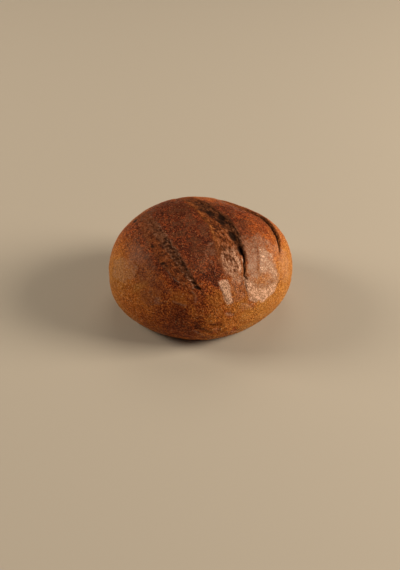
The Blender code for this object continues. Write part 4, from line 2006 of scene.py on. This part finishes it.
    def _torn(self, finish: Finish, colour: Socket) -> Socket:
        """Lay on the torn crumb with painted light and shade by its height, the char, and the lips with
        their painted highlights.

        Args:
            finish: The material under construction.
            colour: The crust's colour.

        Returns:
            The colour with the slashes in it.
        """
        lumps = finish.math("ADD", finish.mark("crumb"), finish.mottle(self.crumb_grain))
        crumb = finish.ramp(lumps, (
            (0.02, self.soot_and_shade), (0.20, self.dark_shaded_crumb), (0.48, self.crumb), (0.88, self.pale_lit_crumb),
        ))
        colour = finish.blend(finish.scale(finish.mark("torn"), self.torn_cover), colour, crumb)
        burnt = finish.scale(finish.mark("char"), finish.between(lumps, (0.35, 0.85), (1.0, 0.45)))
        colour = finish.blend(burnt, colour, self.char)
        # The lips are pale crumb with painted highlights.
        lit = finish.ramp(finish.mark("lip"), ((0.55, self.lip), (0.95, self.lit_crest)))
        lips = finish.scale(finish.mark("lip"), finish.between(lumps, (0.2, 0.7), (0.55, 0.95)))
        return finish.blend(lips, colour, lit)

    def _glazed(self, finish: Finish, colour: Socket) -> Socket:
        """Lay on the films of glaze, painted paler as sheen and highlight the higher their tone.

        Args:
            finish: The material under construction.
            colour: The colour under them.

        Returns:
            The glazed colour.
        """
        uneven = finish.scale(finish.mottle(self.film_mottle), finish.mottle(self.film_grain))
        glaze_and_sheen = finish.ramp(finish.scale(finish.mark("tone"), uneven), (
            (0.08, self.veil_sheen), (0.28, self.glaze_and_sheen), (0.55, self.painted_sheen),
            (0.80, self.bloom_and_highlight), (1.0, self.bright_highlight),
        ))
        patchy = finish.between(uneven, (0.6, 1.2), (0.80, 1.10))
        cover = finish.math("MULTIPLY", finish.mark("glaze_and_sheen"), patchy, clamp=True)
        return finish.blend(cover, colour, glaze_and_sheen)

    def _roughness(self, finish: Finish) -> Socket:
        """Keep the glaze smooth, the crust satin and what is torn dull.

        Args:
            finish: The material under construction.

        Returns:
            The roughness.
        """
        dull = finish.mottle(self.dullness)
        dull = finish.math("ADD", dull, finish.scale(finish.mark("torn"), 0.20))
        dull = finish.math("ADD", dull, finish.scale(finish.mark("char"), 0.25))
        return finish.math("SUBTRACT", dull, finish.scale(finish.mark("glaze_and_sheen"), 0.10), clamp=True)

    def _fine_relief(self, finish: Finish) -> Socket:
        """Add the sub-millimetre grain: tiny blisters, pores and the crumb of the torn floors.

        Args:
            finish: The material under construction.

        Returns:
            The way the surface faces.
        """
        calm = finish.between(finish.mark("glaze_and_sheen"), (0.0, 1.0), (1.0, 0.7))
        pores = finish.between(finish.seeds(self.pore_spacing), (0.05, 0.45))
        skin = finish.bump(finish.scale(pores, calm), 0.60, 0.0004)
        grain = finish.bump(finish.scale(finish.clouds(self.grain_relief), calm), 1.0, 0.0018, skin)
        crumb = finish.scale(finish.clouds(self.crumb_relief), finish.mark("torn"))
        return finish.bump(crumb, 0.8, 0.0014, grain)


@dataclass(frozen=True)
class Lamp:
    """A soft square light that looks at the loaf."""

    name: str
    azimuth: float
    elevation: float
    distance: float
    size: float
    power: float
    colour: tuple[float, float, float]

    def hang(self, target: Vector) -> bpy.types.Object:
        """Hang the light.

        Args:
            target: The point it looks at.

        Returns:
            The light as an object.
        """
        data = bpy.data.lights.new(self.name, "AREA")
        data.shape = "SQUARE"
        data.size = self.size
        data.energy = self.power
        data.color = self.colour
        away = Vector(direction_at(self.azimuth, self.elevation))
        lamp = bpy.data.objects.new(self.name, data)
        lamp.location = target + away * self.distance
        lamp.rotation_euler = away.to_track_quat("Z", "Y").to_euler()
        bpy.context.scene.collection.objects.link(lamp)
        return lamp


@dataclass(frozen=True)
class Studio:
    """The camera, the pale floor and the soft light round the loaf."""

    camera_azimuth: float = -97.8
    camera_elevation: float = 40.0
    camera_distance: float = 0.8671
    camera_target: tuple[float, float, float] = (-0.0063, -0.0381, 0.050)
    lens: float = 50.0
    floor_half: float = 3.0
    floor_colour: Colour = (0.45, 0.44, 0.42, 1.0)
    floor_roughness: float = 0.8
    sky_colour: Colour = (1.0, 0.84, 0.66, 1.0)
    sky_strength: float = 0.06
    lamp_target: tuple[float, float, float] = (0.0, 0.0, 0.05)
    lamps: tuple[Lamp, ...] = (
        Lamp("key", -12.0, 27.0, 2.6, 1.1, 91.0, (1.0, 0.80, 0.57)),
        Lamp("fill", 162.0, 30.0, 2.6, 1.0, 41.0, (1.0, 0.80, 0.57)),
        Lamp("back", 75.0, 50.0, 2.6, 1.5, 14.0, (1.0, 0.80, 0.57)),
    )

    def place_camera(self) -> bpy.types.Object:
        """Set the camera up to look down on the loaf from the front.

        Returns:
            The camera as an object.
        """
        data = bpy.data.cameras.new("camera")
        data.lens = self.lens
        camera = bpy.data.objects.new("camera", data)
        back = Vector(direction_at(self.camera_azimuth, self.camera_elevation))
        camera.location = Vector(self.camera_target) + back * self.camera_distance
        camera.rotation_euler = back.to_track_quat("Z", "Y").to_euler()
        bpy.context.scene.collection.objects.link(camera)
        bpy.context.scene.camera = camera
        return camera

    def light(self) -> None:
        """Hang the lamps and set the sky's even glow."""
        for lamp in self.lamps:
            lamp.hang(Vector(self.lamp_target))
        world = bpy.data.worlds.new("sky")
        world.use_nodes = True
        glow = world.node_tree.nodes["Background"]
        glow.inputs["Color"].default_value = self.sky_colour
        glow.inputs["Strength"].default_value = self.sky_strength
        bpy.context.scene.world = world
        bpy.context.scene.view_settings.view_transform = "Standard"

    def lay_floor(self) -> bpy.types.Object:
        """Lay the plain pale floor that the loaf stands on.

        Returns:
            The floor as an object.
        """
        half = self.floor_half
        mesh = bpy.data.meshes.new("floor")
        corners = [(-half, -half, 0.0), (half, -half, 0.0), (half, half, 0.0), (-half, half, 0.0)]
        mesh.from_pydata(corners, [], [(0, 1, 2, 3)])
        finish = Finish("floor")
        finish.shader.inputs["Base Color"].default_value = self.floor_colour
        finish.shader.inputs["Roughness"].default_value = self.floor_roughness
        mesh.materials.append(finish.material)
        floor = bpy.data.objects.new("floor", mesh)
        bpy.context.scene.collection.objects.link(floor)
        return floor


def main() -> None:
    """Build the studio and the loaf's crust, and report the crust's face count."""
    logging.basicConfig(level=logging.INFO, format="%(name)s: %(message)s")
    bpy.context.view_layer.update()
    studio = Studio()
    studio.place_camera()
    studio.light()
    studio.lay_floor()
    crust = LoafCrust().build()
    crust.data.materials.append(CrustFinish().material())
    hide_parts("loaf")
    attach(crust, "root")
    LOG.info("crust: %d faces", len(crust.data.polygons))


if __name__ == "__main__":
    main()
